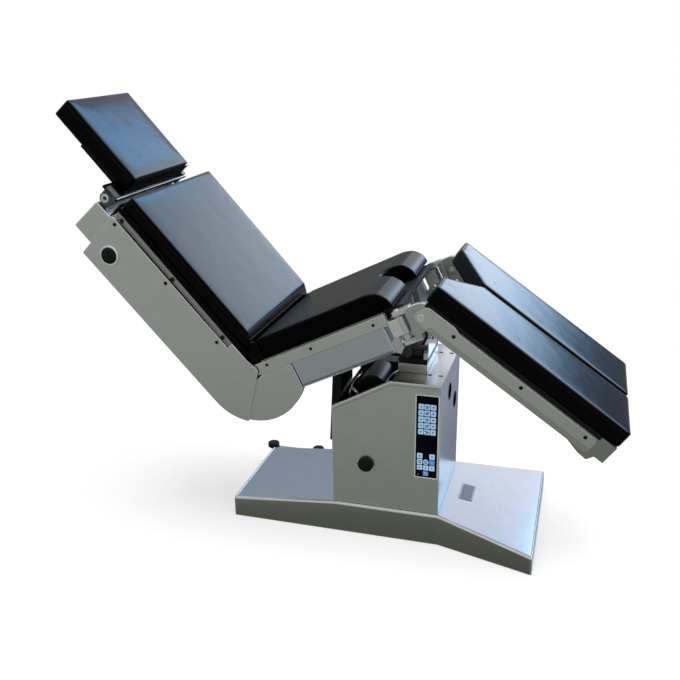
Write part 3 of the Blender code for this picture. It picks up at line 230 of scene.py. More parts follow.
def inset(outline, distance):
    """The outline moved to its left, along the bisectors of its edges' normals."""
    ahead = np.roll(outline, -1, axis=0) - outline
    ahead /= np.maximum(np.hypot(ahead[:, 0], ahead[:, 1]), 1e-9)[:, None]
    normal = np.column_stack((-ahead[:, 1], ahead[:, 0]))
    mean = normal + np.roll(normal, 1, axis=0)
    mean /= np.maximum(np.hypot(mean[:, 0], mean[:, 1]), 1e-9)[:, None]
    cosine = np.maximum((mean * normal).sum(1), 0.35)
    return outline + mean * (distance / cosine)[:, None]


def band(rows, columns, first=0, closed=True):
    """Quads between the rows of a grid of points; closed joins the last column to the first."""
    i = first + np.arange(rows - 1)[:, None] * columns
    j = np.arange(columns if closed else columns - 1)[None, :]
    k = (j + 1) % columns
    return np.stack((i + j, i + k, i + columns + k, i + columns + j), -1).reshape(-1, 4).tolist()


def cap(rings, starts):
    """Triangles that fill the first of some rings around the others, which are holes."""
    index = np.concatenate([start + np.arange(len(ring)) for ring, start in zip(rings, starts)])
    flat = [[Vector((x, y, 0.0)) for x, y in ring] for ring in rings]
    return [[int(index[i]) for i in face] for face in tessellate_polygon(flat)]


def turned_left(outlines):
    """The first outline counter-clockwise and its holes clockwise, so that the metal is on the left."""
    outlines = [np.asarray(o, float) for o in outlines]
    return [o if (signed_area(o) > 0) == (i == 0) else o[::-1] for i, o in enumerate(outlines)]


def plate(outlines, low, high, edge=0.0012, edge_low=None, steps=3):
    """Closed plate of an outline (a, b) with its holes, from depth low to high, with rounded edges.

    Ring k of an edge of radius r is inset by r (1 - sin t) and lies r (1 - cos t) from the face,
    for t from 0 to 90 degrees.  A ring 0.4 mm further in keeps the face flat.  edge may be an array
    with one radius for each point of the first outline.
    """
    if np.ndim(outlines[0]) == 1:
        outlines = [outlines]
    edges = (edge if edge_low is None else edge_low, edge)
    t = np.radians(np.linspace(0.0, 90.0, steps + 1))[:, None]
    points, faces, inner, outer, starts = [], [], [], [], []
    count = 0
    for i, outline in enumerate(turned_left(outlines)):
        n = len(outline)
        rings = []
        for r, face, sign in ((edges[0], low, 1.0), (edges[1], high, -1.0)):
            r = np.broadcast_to(np.asarray(r if i == 0 or np.isscalar(r) else np.min(r), float), (n,))
            away = np.vstack((r + 0.0004, r * (1 - np.sin(t)), np.zeros(n)))
            deep = np.vstack((np.zeros(n), r * (1 - np.cos(t)), r + 0.0004))
            grid = [np.column_stack((inset(outline, a), face + sign * d)) for a, d in zip(away, deep)]
            rings += grid if sign > 0 else grid[::-1]
        starts.append(count)
        inner.append(rings[0][:, :2])
        outer.append(rings[-1][:, :2])
        points += rings
        faces += band(len(rings), n, count)
        count += n * len(rings)
    faces += cap(inner, starts)
    ends = [start + len(ring) * (2 * steps + 5) for start, ring in zip(starts, inner)]
    faces += cap(outer, ends)
    return np.concatenate(points), faces


def tub(outlines, face, depth, edge=0.003, steps=4):
    """Open folded sheet: a face whose rim turns back by depth at each point of the outline.

    Ring k is inset by r (1 - sin t) and lies r (1 - cos t) behind the face; the last ring lies at the
    depth of its point.  The sheet gets its thickness from a Solidify step.
    """
    if np.ndim(outlines[0]) == 1:
        outlines = [outlines]
    t = np.radians(np.linspace(0.0, 90.0, steps + 1))[:, None]
    points, faces, flat, starts = [], [], [], []
    count = 0
    for i, outline in enumerate(turned_left(outlines)):
        n = len(outline)
        r = np.full(n, edge if i == 0 else 0.0008)
        away = np.vstack((r + 0.0006, r * (1 - np.sin(t)), np.zeros(n), np.zeros(n)))
        last = np.broadcast_to(np.asarray(depth if i == 0 else 0.0012, float), (n,))
        deep = np.vstack((np.zeros(n), r * (1 - np.cos(t)), r + 0.0005, np.maximum(last, r + 0.0010)))
        rings = [np.column_stack((inset(outline, a), face - d)) for a, d in zip(away, deep)]
        starts.append(count)
        flat.append(rings[0][:, :2])
        points += rings
        faces += band(len(rings), n, count)
        count += n * len(rings)
    faces += cap(flat, starts)
    return np.concatenate(points), faces


def lathe(profile, steps=40):
    """Solid of revolution about the depth axis from (radius, depth) points that start and end on the axis."""
    profile = np.asarray(profile, float)
    t = np.linspace(0, 2 * math.pi, steps, endpoint=False)
    inner = profile[1:-1]
    x, y = inner[:, :1] * np.cos(t), inner[:, :1] * np.sin(t)
    ring = np.stack((x, y, np.broadcast_to(inner[:, 1:], x.shape)), -1).reshape(-1, 3)
    points = np.vstack(([0.0, 0.0, profile[0, 1]], ring, [0.0, 0.0, profile[-1, 1]]))
    j = np.arange(steps)
    k = (j + 1) % steps
    end = len(points) - 1
    first = np.column_stack((np.zeros(steps, int), 1 + k, 1 + j)).tolist()
    last = np.column_stack((end - steps + j, end - steps + k, np.full(steps, end))).tolist()
    return points, first + band(len(inner), steps, 1) + last


def tube(path, radius, sides=14, closed=False, squash=1.0):
    """A round section carried along a path; its side vector is parallel-carried from point to point."""
    path = np.asarray(path, float)
    if closed:
        ahead = np.roll(path, -1, axis=0) - np.roll(path, 1, axis=0)
    else:
        ahead = np.gradient(path, axis=0)
    ahead /= np.linalg.norm(ahead, axis=1)[:, None]
    side = np.cross(ahead[0], (0.0, 0.0, 1.0) if abs(ahead[0][2]) < 0.9 else (1.0, 0.0, 0.0))
    sides_at = []
    for direction in ahead:
        side = side - direction * (side @ direction)
        side = side / np.linalg.norm(side)
        sides_at.append(side)
    first = np.array(sides_at)
    second = np.cross(ahead, first)
    t = np.linspace(0, 2 * math.pi, sides, endpoint=False)
    radius = np.broadcast_to(np.asarray(radius, float), (len(path),))[:, None, None]
    ring = first[:, None] * np.cos(t)[None, :, None] + second[:, None] * np.sin(t)[None, :, None] * squash
    points = (path[:, None] + radius * ring).reshape(-1, 3)
    faces = band(len(path), sides)
    if closed:
        j = np.arange(sides)
        k = (j + 1) % sides
        last = (len(path) - 1) * sides
        faces += np.column_stack((last + j, last + k, k, j)).tolist()
    else:
        faces += [list(range(sides)), list(range(len(points) - sides, len(points)))]
    return points, faces


def smooth_path(points, steps=8):
    """Points on a Catmull-Rom curve through the given ones."""
    p = np.asarray(points, float)
    p = np.vstack((2 * p[0] - p[1], p, 2 * p[-1] - p[-2]))
    t = np.linspace(0, 1, steps, endpoint=False)[:, None]
    out = []
    for a, b, c, d in zip(p, p[1:], p[2:], p[3:]):
        square, cube = 2 * a - 5 * b + 4 * c - d, 3 * b - a - 3 * c + d
        out.append(0.5 * (2 * b + (c - a) * t + square * t ** 2 + cube * t ** 3))
    return np.vstack((*out, p[-2]))


def side_on(shape, side):
    """(a, b, depth) points as (u, y, v), depth being the distance from the middle plane on one side."""
    points, faces = shape
    return np.column_stack((points[:, 0], side * points[:, 2], points[:, 1])), faces


def flat_on(shape):
    """(a, b, depth) points as (u, y, v) with the depth along v."""
    return shape


def end_on(shape):
    """(a, b, depth) points as (u, y, v) with the depth along u."""
    points, faces = shape
    return np.column_stack((points[:, 2], points[:, 0], points[:, 1])), faces


def moved(shape, by):
    """The shape shifted."""
    return shape[0] + np.asarray(by, float), shape[1]


def joined(*parts):
    """Several shapes as one."""
    points, faces, base = [], [], 0
    for p, f in parts:
        points.append(p)
        faces += [[i + base for i in face] for face in f]
        base += len(p)
    return np.concatenate(points), faces


def screw(radius, high):
    """Button-head screw with a hexagon socket: (radius, depth) profile and a six-sided recess."""
    t = np.radians(np.linspace(0.0, 60.0, 5))
    dome = np.column_stack((radius * np.cos(t), high * np.sin(t) / math.sin(math.radians(60.0))))
    profile = np.vstack(([0.0, -0.002], [radius * 0.9, -0.002], [radius, 0.0], dome[1:]))
    socket = radius * 0.48
    steps = 24
    around = np.linspace(0, 2 * math.pi, steps, endpoint=False)
    part = (around + math.pi / 6) % (math.pi / 3) - math.pi / 6
    hexagon = socket * math.cos(math.pi / 6) / np.cos(part)
    rings = [np.column_stack((r * np.cos(around), r * np.sin(around), np.full(steps, d)))
             for r, d in profile[1:]]
    for scale, depth in ((1.12, high), (1.0, high - 0.0002), (0.96, high * 0.25)):
        rings.append(np.column_stack((hexagon * scale * np.cos(around), hexagon * scale * np.sin(around),
                                      np.full(steps, depth))))
    points = np.vstack(rings)
    faces = band(len(rings), steps)
    faces += [list(range(steps)), list(range(len(points) - steps, len(points)))]
    return points, faces


def screws(places, side, face, radius=None, high=None):
    """Screws on a side at places (u, v), their heads standing on the distance face from the middle."""
    radius, high = radius or size("screw_head"), high or size("screw_rise")
    parts = []
    for u, v in places:
        points, faces = screw(radius, high)
        parts.append(side_on((points + (u, v, face), faces), side))
    return joined(*parts)


def mesh_object(name, points, faces, sharp=35.0):
    """An object of a closed surface whose faces point outwards and whose edges are sharp above an angle."""
    mesh = bpy.data.meshes.new(name)
    mesh.from_pydata(np.asarray(points).tolist(), [], faces)
    mesh.validate()
    bm = bmesh.new()
    bm.from_mesh(mesh)
    bmesh.ops.remove_doubles(bm, verts=bm.verts[:], dist=1e-6)
    bmesh.ops.recalc_face_normals(bm, faces=bm.faces[:])
    bm.to_mesh(mesh)
    bm.free()
    mesh.shade_smooth()
    mesh.set_sharp_from_angle(angle=math.radians(sharp))
    mark_edges(mesh)
    made = bpy.data.objects.new(name, mesh)
    bpy.context.scene.collection.objects.link(made)
    return made


def mark_edges(mesh):
    """Store a face attribute that is 1 where the surface bends by 16 to 24 degrees or more to a neighbour."""
    sizes = np.empty(len(mesh.polygons), np.int32)
    mesh.polygons.foreach_get("loop_total", sizes)
    face = np.repeat(np.arange(len(sizes)), sizes)
    edge = np.empty(len(mesh.loops), np.int32)
    mesh.loops.foreach_get("edge_index", edge)
    across = np.empty(len(sizes) * 3)
    mesh.polygons.foreach_get("normal", across)
    across = across.reshape(-1, 3)
    order = np.argsort(edge, kind="stable")
    edge, face = edge[order], face[order]
    pair = np.flatnonzero(edge[1:] == edge[:-1])
    one, two = face[pair], face[pair + 1]
    angle = np.degrees(np.arccos(np.clip((across[one] * across[two]).sum(1), -1.0, 1.0)))
    widest = np.zeros(len(sizes))
    np.maximum.at(widest, one, angle)
    np.maximum.at(widest, two, angle)
    # The bend mask says where the shader paints the edge light along the folds.
    mark = mesh.attributes.new("bend", "FLOAT", "FACE")
    mark.data.foreach_set("value", np.clip((widest - 16.0) / 8.0, 0.0, 1.0).astype(np.float32))


def keep_flat(made):
    """Weight the shading normals by face area, so that a flat face stays flat beside a rounded edge."""
    step = made.modifiers.new("flat faces", "WEIGHTED_NORMAL")
    step.weight = 80
    step.keep_sharp = True


def declare(made, look, body, replaces=()):
    """Give a piece its finish, its body and the CAD nodes that it stands for."""
    made.data.materials.clear()
    made.data.materials.append(state["looks"][look])
    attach(made, body)
    if replaces:
        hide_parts(*replaces)
    return made


def piece(name, shape, section, look, body, replaces=(), sharp=35.0):
    """A visible piece from (u, y, v) points of a section, riding on a CAD body."""
    made = mesh_object(name, to_world(shape[0], section), shape[1], sharp)
    keep_flat(made)
    return declare(made, look, body, replaces)


def sheet_piece(name, shape, section, look, body, replaces=(), thickness=None, out=None):
    """A folded sheet given its thickness on its inner side; out is a point on the outer side's half."""
    made = mesh_object(name, to_world(shape[0], section), shape[1], 40.0)
    if out is not None:
        toward = Vector(to_world([out], section)[0])
        mesh = made.data
        bm = bmesh.new()
        bm.from_mesh(mesh)
        widest = max(bm.faces, key=lambda f: f.calc_area())
        if widest.normal.dot(toward - widest.calc_center_median()) < 0:
            bmesh.ops.reverse_faces(bm, faces=bm.faces[:])
        bm.to_mesh(mesh)
        bm.free()
    step = made.modifiers.new("sheet", "SOLIDIFY")
    step.thickness = thickness or size("sheet")
    step.offset = -1.0
    keep_flat(made)
    return declare(made, look, body, replaces)


# Materials

class Net:
    """Short hand for wiring shader nodes."""

    def __init__(self, tree):
        self.tree = tree

    def node(self, kind, **values):
        """A new node with some of its values set."""
        made = self.tree.nodes.new(kind)
        for key, value in values.items():
            setattr(made, key, value)
        return made

    def wire(self, source, target):
        """Link two sockets."""
        self.tree.links.new(source, target)

    def feed(self, socket, value):
        """Link a socket to an output, or set it to a value."""
        if hasattr(value, "is_output"):
            self.wire(value, socket)
        else:
            socket.default_value = value

    def math(self, operation, *values, clamp=False):
        """Result of a sum on outputs or values."""
        made = self.node("ShaderNodeMath", operation=operation, use_clamp=clamp)
        for socket, value in zip(made.inputs, values):
            self.feed(socket, value)
        return made.outputs[0]

    def mix(self, factor, first, second):
        """Blend of two colours."""
        made = self.node("ShaderNodeMix", data_type="RGBA")
        self.feed(made.inputs[0], factor)
        self.feed(made.inputs[6], first)
        self.feed(made.inputs[7], second)
        return made.outputs[2]

    def ramp(self, factor, stops, interpolation="LINEAR"):
        """Colours or greys between stops along a factor."""
        made = self.node("ShaderNodeValToRGB")
        made.color_ramp.interpolation = interpolation
        items = made.color_ramp.elements
        while len(items) < len(stops):
            items.new(0.5)
        for item, (place, tone) in zip(items, stops):
            item.position = place
            item.color = (*tone, 1.0) if hasattr(tone, "__len__") else (tone, tone, tone, 1.0)
        self.feed(made.inputs[0], factor)
        return made.outputs[0]

    def noise(self, vector, scale, detail=3.0, roughness=0.5):
        """Fractal noise at a place."""
        made = self.node("ShaderNodeTexNoise")
        self.wire(vector, made.inputs["Vector"])
        made.inputs["Scale"].default_value = scale
        made.inputs["Detail"].default_value = detail
        made.inputs["Roughness"].default_value = roughness
        return made.outputs["Fac"]

    def stretched(self, scale, turn=0.0):
        """Object coordinates, turned about Y and scaled."""
        coords = self.node("ShaderNodeTexCoord").outputs["Object"]
        made = self.node("ShaderNodeMapping", vector_type="POINT")
        self.wire(coords, made.inputs["Vector"])
        made.inputs["Rotation"].default_value = (0.0, turn, 0.0)
        made.inputs["Scale"].default_value = scale
        return made.outputs[0]

    def painted_edge_light(self, shader, colour, metallic, light, tone):
        """Painted edge light: where the surface bends, duller metal of another, flat tone stands in for the line
        that the light draws along the fold.
        """
        mark = self.node("ShaderNodeAttribute", attribute_name="bend").outputs["Fac"]
        edge = self.math("MULTIPLY", mark, light)
        self.wire(self.mix(edge, colour, (tone, tone * 1.01, tone * 0.98, 1.0)), shader.inputs["Base Color"])
        self.wire(self.math("MULTIPLY_ADD", edge, -0.85 * metallic, metallic), shader.inputs["Metallic"])

    def bump(self, height, strength, distance):
        """Normal of a height."""
        made = self.node("ShaderNodeBump")
        self.feed(made.inputs["Height"], height)
        made.inputs["Strength"].default_value = strength
        made.inputs["Distance"].default_value = distance
        return made.outputs[0]


def blank(name):
    """A new material with its net and its shader."""
    made = bpy.data.materials.new(name)
    made.use_nodes = True
    net = Net(made.node_tree)
    shader = made.node_tree.nodes["Principled BSDF"]
    return made, net, shader


def brushed(name, colour, roughness, along="x", turn=0.0, grain=0.10, spread=0.03, light=0.85, tone=0.34):
    """Brushed steel: fine streaks along one direction and slow mottling vary the colour and the roughness; the
    bends get a painted edge light.
    """
    made, net, shader = blank(name)
    long, fine = 6.0, 420.0
    scale = {"x": (long, fine, fine), "y": (fine, long, fine), "z": (fine, fine, long)}[along]
    vector = net.stretched(scale, turn)
    streak = net.noise(vector, 1.0, 4.0, 0.6)
    cloud = net.noise(net.stretched((1, 1, 1)), 7.0, 2.0, 0.5)
    dark = [c * (1.0 - grain) for c in colour]
    pale = [min(1.0, c * (1.0 + grain)) for c in colour]
    blend = net.math("ADD", net.math("MULTIPLY", streak, 0.7), net.math("MULTIPLY", cloud, 0.3))
    metal = net.ramp(blend, [(0.3, dark), (0.7, pale)])
    mottle = net.noise(net.stretched((1, 1, 1)), 26.0, 4.0, 0.65)
    tint = net.ramp(mottle, [(0.30, (0.91, 0.96, 0.92)), (0.70, (1.0, 0.98, 1.0))])
    both = net.node("ShaderNodeMix", data_type="RGBA", blend_type="MULTIPLY")
    both.inputs[0].default_value = 1.0
    net.wire(metal, both.inputs[6])
    net.wire(tint, both.inputs[7])
    net.painted_edge_light(shader, both.outputs[2], 1.0, light, tone)
    rough = net.math("ADD", net.math("MULTIPLY", net.math("SUBTRACT", blend, 0.5), spread * 2), roughness)
    net.wire(rough, shader.inputs["Roughness"])
    net.wire(net.bump(streak, 0.03, 0.0005), shader.inputs["Normal"])
    return made


def leather(name, colour, roughness=0.13, level=0.4, face_on=0.10):
    """Smooth coated upholstery: a fine pebbled grain over slow, shallow unevenness."""
    made, net, shader = blank(name)
    coords = net.stretched((1, 1, 1))
    cells = net.node("ShaderNodeTexVoronoi", feature="SMOOTH_F1")
    net.wire(coords, cells.inputs["Vector"])
    cells.inputs["Scale"].default_value = 520.0
    grain = cells.outputs["Distance"]
    slow = net.noise(coords, 9.0, 2.0, 0.5)
    blotch = net.noise(coords, 38.0, 3.0, 0.6)
    fine = net.bump(grain, 0.10, 0.0005)
    wide = net.node("ShaderNodeBump")
    net.wire(slow, wide.inputs["Height"])
    wide.inputs["Strength"].default_value = 0.25
    wide.inputs["Distance"].default_value = 0.004
    net.wire(fine, wide.inputs["Normal"])
    net.wire(wide.outputs[0], shader.inputs["Normal"])
    shader.inputs["Base Color"].default_value = (*colour, 1.0)
    rough = net.math("ADD", net.math("MULTIPLY", net.math("SUBTRACT", blotch, 0.5), 0.12), roughness)
    net.wire(rough, shader.inputs["Roughness"])
    shader.inputs["Specular IOR Level"].default_value = level
    shader.inputs["Specular Tint"].default_value = (face_on, face_on, face_on, 1.0)
    return made


def plain(name, colour, roughness, metallic=0.0, level=0.5, face_on=1.0, grain=0.0, light=0.0, tone=0.34):
    """Moulded, painted or cast surface with a slight uneven roughness; given light, its bends get a painted edge
    light.
    """
    made, net, shader = blank(name)
    coords = net.stretched((1, 1, 1))
    cloud = net.noise(coords, 60.0, 3.0, 0.6)
    shader.inputs["Base Color"].default_value = (*colour, 1.0)
    shader.inputs["Metallic"].default_value = metallic
    shader.inputs["Specular IOR Level"].default_value = level
    shader.inputs["Specular Tint"].default_value = (face_on, face_on, face_on, 1.0)
    if light:
        net.painted_edge_light(shader, (*colour, 1.0), metallic, light, tone)
    rough = net.math("ADD", net.math("MULTIPLY", net.math("SUBTRACT", cloud, 0.5), 0.10), roughness)
    net.wire(rough, shader.inputs["Roughness"])
    if grain:
        net.wire(net.bump(net.noise(coords, 900.0, 2.0, 0.5), grain, 0.0004), shader.inputs["Normal"])
    return made


def painted_reflection_ramp(name, axis, span, stops):
    """Polished sheet with a painted reflection: its tone changes along one axis of the row frame, over a span,
    standing in for the change in the light it reflects.
    """
    made, net, shader = blank(name)
    parts = net.node("ShaderNodeSeparateXYZ")
    net.wire(net.stretched((1, 1, 1)), parts.inputs[0])
    reach = span[1] - span[0]
    along = net.math("MULTIPLY_ADD", parts.outputs[axis], 1.0 / reach, -span[0] / reach, clamp=True)
    streak = net.noise(net.stretched((420.0, 420.0, 6.0)), 1.0, 3.0, 0.6)
    place = net.math("ADD", along, net.math("MULTIPLY", net.math("SUBTRACT", streak, 0.5), 0.08))
    net.wire(net.ramp(place, stops), shader.inputs["Base Color"])
    shader.inputs["Metallic"].default_value = 1.0
    shader.inputs["Roughness"].default_value = 0.30
    return made


SLOT_LOOKS = {
    "steel": "steel",
    "steel_bright": "steel_bright",
    "cast": "cast",
    "dark_steel": "dark",
    "chrome": "chrome",
    "leather": "leather",
    "black_plastic": "plastic",
    "keypad": "keypad",
}


class TABLE_OT_materials(bpy.types.Operator):
    """Make the procedural materials and give every CAD node the one of its slot"""
    bl_idname = "table.materials"
    bl_label = "Materials"

    def execute(self, context):
        steel, leather_colour = colour("steel"), colour("leather")
        state["looks"] = {
            "steel": brushed("steel", steel, 0.36, "x", grain=0.03),
            "steel_seat": brushed("steel seat", steel, 0.36, "x", SLOPES["seat"], 0.03),
            "steel_back": brushed("steel back", steel, 0.36, "x", SLOPES["back"], 0.03),
            "steel_leg": brushed("steel leg", steel, 0.36, "x", SLOPES["leg"], 0.03),
            # The base's bends are painted lighter, as the highlight line along its folds.
            "steel_base": brushed("steel base", colour("steel_base"), 0.11, "y", grain=0.03, light=0.5,
                                  tone=0.62),
            "steel_bright": brushed("steel bright", (0.62, 0.62, 0.61), 0.28, "y", grain=0.03),
            # The column's end panel: painted reflection, darker towards the bottom and lighter towards the top.
            "steel_end": painted_reflection_ramp("steel end", 2, (0.10, 0.47), [
                (0.05, (0.078, 0.092, 0.110)), (0.39, (0.105, 0.113, 0.125)), (0.72, (0.205, 0.208, 0.212)),
                (0.96, (0.30, 0.305, 0.315))]),
            "steel_lug": brushed("steel lug", (0.55, 0.57, 0.62), 0.24, "y", grain=0.04),
            "cast_light": plain("cast light", (0.60, 0.61, 0.60), 0.44, 1.0, grain=0.05, light=0.8),
            "cast_black": plain("cast black", (0.035, 0.040, 0.036), 0.34, 1.0, grain=0.05, light=0.8,
                                tone=0.02),
            "cast_dark": plain("cast dark", (0.10, 0.12, 0.14), 0.40, 1.0, grain=0.05, light=0.5, tone=0.12),
            "steel_tray": brushed("steel tray", colour("steel_tray"), 0.36, "x", SLOPES["seat"], 0.03),
            # Leg trays: a darker steel, painted shade where they sit back in shadow beside the bars.
            "steel_painted_shade": brushed("steel painted shade", (0.39, 0.40, 0.375), 0.38, "x", SLOPES["leg"], 0.03,
                                   tone=0.22),
            # Strip on the leg bar's lower third: a darker steel, painted shade of a fold that turns away from the
            # light.
            "steel_painted_fold_shade": brushed("steel painted fold shade", (0.50, 0.505, 0.475), 0.38, "x", SLOPES["leg"], 0.03,
                                 tone=0.30),
            "rail": brushed("rail", colour("rail"), 0.36, "x", SLOPES["back"], 0.03, tone=0.16),
            # The column's lid: painted reflection, dark at the head end and bright at the foot end.
            "lid": painted_reflection_ramp("lid", 0, (-0.05, 0.10), [
                (0.10, (0.10, 0.095, 0.08)), (0.45, (0.30, 0.29, 0.27)), (0.80, (0.74, 0.72, 0.71))]),
            "plate": brushed("plate", (0.16, 0.17, 0.18), 0.40, "y", grain=0.08, light=0.3),
            # Black without sheen, painted shade on the headrest's bracket and on the plates in the gap between
            # head and back.
            "painted_shade_black": plain("painted shade black", (0.002, 0.002, 0.002), 0.60, 0.0, 0.05),
            "pipe": plain("pipe", (0.62, 0.62, 0.60), 0.22, 1.0),
            "lamp": plain("lamp", (0.80, 0.25, 0.05), 0.30, 0.0, 0.5),
            # Bright satin steel of rings, frames and nuts, also of the column's rim strips painted as highlights.
            "edge": plain("steel edge", (0.70, 0.71, 0.70), 0.30, 0.6),
            "cast": plain("cast", colour("cast"), 0.44, 1.0, grain=0.05, light=0.8),
            "leather_edge": leather("leather edge", (0.006, 0.004, 0.0035), 0.42),
            "screw": plain("blackened screw", (0.006, 0.006, 0.007), 0.34, 0.3, 0.5, 0.3),
            "dark": plain("dark steel", (0.012, 0.012, 0.013), 0.40, 0.0, 0.5, 0.6),
            "chrome": plain("chrome", (0.78, 0.78, 0.80), 0.14, 1.0),
            "leather": leather("leather", leather_colour),
            "leather_seat": leather("leather seat", leather_colour, 0.27, 0.25),
            "plastic": plain("black plastic", colour("plastic"), 0.36, 0.0, 0.4, 0.4),
            "rubber": plain("rubber", colour("rubber"), 0.6, 0.0, 0.3, 0.6),
            "keypad": plain("keypad foil", colour("keypad"), 0.22, 0.0, 0.3, 0.1),
            "key": plain("key print", colour("key"), 0.35, 0.0, 0.5, 0.3),
            "key_pale": plain("key print pale", colour("key_pale"), 0.35, 0.0, 0.5, 0.3),
        }
        record = frame["record"]
        slots = {entry["node"]: entry["material_slot"] for entry in record["subparts"]}
        sections = {"seat": "seat", "back": "back", "head": "back", "leg_right": "leg", "leg_left": "leg"}
        for body, nodes in record["behaviour"]["bodies"].items():
            for node in nodes:
                look = SLOT_LOOKS[slots[node]]
                if look == "steel" and body in sections:
                    look = f"steel_{sections[body]}"
                if node == "base_cover":
                    look = "steel_base"
                # The leg trays take the steel painted as shade.
                if node.startswith("leg_tray"):
                    look = "steel_painted_shade"
                thing = frame["nodes"][node]
                thing.data.materials.clear()
                thing.data.materials.append(state["looks"][look])
        return {"FINISHED"}


# Cushions

def pad(name, section, shape, low, body, replaces, seam, look="leather"):
    """Padded cushion: the start shape is remeshed, blown up with cloth pressure and sewn at its seam.

    The start shape lies inside the cushion's size, and the bottom of the cushion is pinned.
    """
    made = mesh_object(name, shape[0], shape[1])
    remesh = made.modifiers.new("remesh", "REMESH")
    remesh.mode = "VOXEL"
    remesh.voxel_size = 0.005
    apply(made)
    start = vertices(made)
    hold = made.vertex_groups.new(name="bottom")
    hold.add(np.flatnonzero(start[:, 2] < low + 0.006).tolist(), 1.0, "REPLACE")
    swell(made, start)
    soften = made.modifiers.new("soften", "LAPLACIANSMOOTH")
    soften.iterations = 2
    soften.lambda_factor = 0.35
    soften.use_volume_preserve = True
    fine = made.modifiers.new("fine", "SUBSURF")
    fine.levels = fine.render_levels = 1
    apply(made)
    if seam:
        press(made, seam)
    points = to_world(vertices(made), section)
    made.data.vertices.foreach_set("co", points.ravel())
    made.vertex_groups.clear()
    made.data.shade_smooth()
    declare(made, look, body, replaces)
    return made


def vertices(made):
    """Places of the mesh's points."""
    points = np.empty(len(made.data.vertices) * 3)
    made.data.vertices.foreach_get("co", points)
    return points.reshape(-1, 3)


def apply(made):
    """Put the result of the modifiers into the mesh."""
    bpy.context.view_layer.update()
    graph = bpy.context.evaluated_depsgraph_get()
    mesh = bpy.data.meshes.new_from_object(made.evaluated_get(graph))
    made.modifiers.clear()
    old = made.data
    made.data = mesh
    bpy.data.meshes.remove(old)


def swell(made, start):
    """Cloth under inner pressure.

    Each point's way w is cut to c tanh(w / c) and evened out with the ways of its neighbours.
    """
    most = size("cushion_swell")
    cloth = made.modifiers.new("cloth", "CLOTH")
    cloth.settings.use_pressure = True
    cloth.settings.uniform_pressure_force = 4.0
    cloth.settings.vertex_group_mass = "bottom"
    cloth.settings.effector_weights.gravity = 0.0
    cloth.settings.quality = 5
    cloth.point_cache.frame_start = 1
    cloth.point_cache.frame_end = 20
    scene = bpy.context.scene
    for step in range(1, 21):
        scene.frame_set(step)
    apply(made)
    scene.frame_set(1)
    way = vertices(made) - start
    reach = np.maximum(np.linalg.norm(way, axis=1), 1e-9)
    way *= (most * np.tanh(reach / most) / reach)[:, None]
    ends = np.empty(len(made.data.edges) * 2, np.int32)
    made.data.edges.foreach_get("vertices", ends)
    first, second = ends.reshape(-1, 2).T
    count = np.bincount(ends, minlength=len(way))[:, None]
    for _ in range(14):
        total = np.zeros_like(way)
        np.add.at(total, first, way[second])
        np.add.at(total, second, way[first])
        way = 0.4 * way + 0.6 * total / count
    points = start + way
    made.data.vertices.foreach_set("co", points.ravel())
    made.data.update()


def press(made, level):
    """Press a seam into the sides: each side point near the level goes in by d exp(-(v - level)^2 / w^2)."""
    points = vertices(made)
    normals = np.empty(len(points) * 3)
    made.data.vertices.foreach_get("normal", normals)
    normals = normals.reshape(-1, 3)
    flat = 1.0 - np.abs(normals[:, 2])
    fall = np.exp(-((points[:, 2] - level) / 0.0022) ** 2)
    depth = size("seam_depth") * fall * np.clip(flat * 1.5, 0.0, 1.0)
    points = points - normals * depth[:, None]
    made.data.vertices.foreach_set("co", points.ravel())
    made.data.update()


def thread(name, made, section, outline, level, body):
    """Raised seam round a cushion: a tube along the outline at a level, drawn onto the cushion's side."""
    outline = np.asarray(outline, float)
    if signed_area(outline) < 0:
        outline = outline[::-1]
    dense = []
    for p, q in zip(outline, np.roll(outline, -1, axis=0)):
        count = max(1, int(np.hypot(*(q - p)) / 0.008))
        dense.append(p + (q - p) * np.linspace(0, 1, count, endpoint=False)[:, None])
    dense = np.vstack(dense)
    path = to_world(np.column_stack((dense[:, 0], dense[:, 1], np.full(len(dense), level))), section)
    tree = BVHTree.FromObject(made, bpy.context.evaluated_depsgraph_get())
    found = np.array([tree.find_nearest(Vector(p))[0] for p in path])
    for _ in range(3):
        found = (np.roll(found, 1, axis=0) + 2 * found + np.roll(found, -1, axis=0)) / 4
    points, faces = tube(found, size("seam_radius"), 8, closed=True)
    line = mesh_object(name, points, faces, 60.0)
    return declare(line, "leather_edge", body)


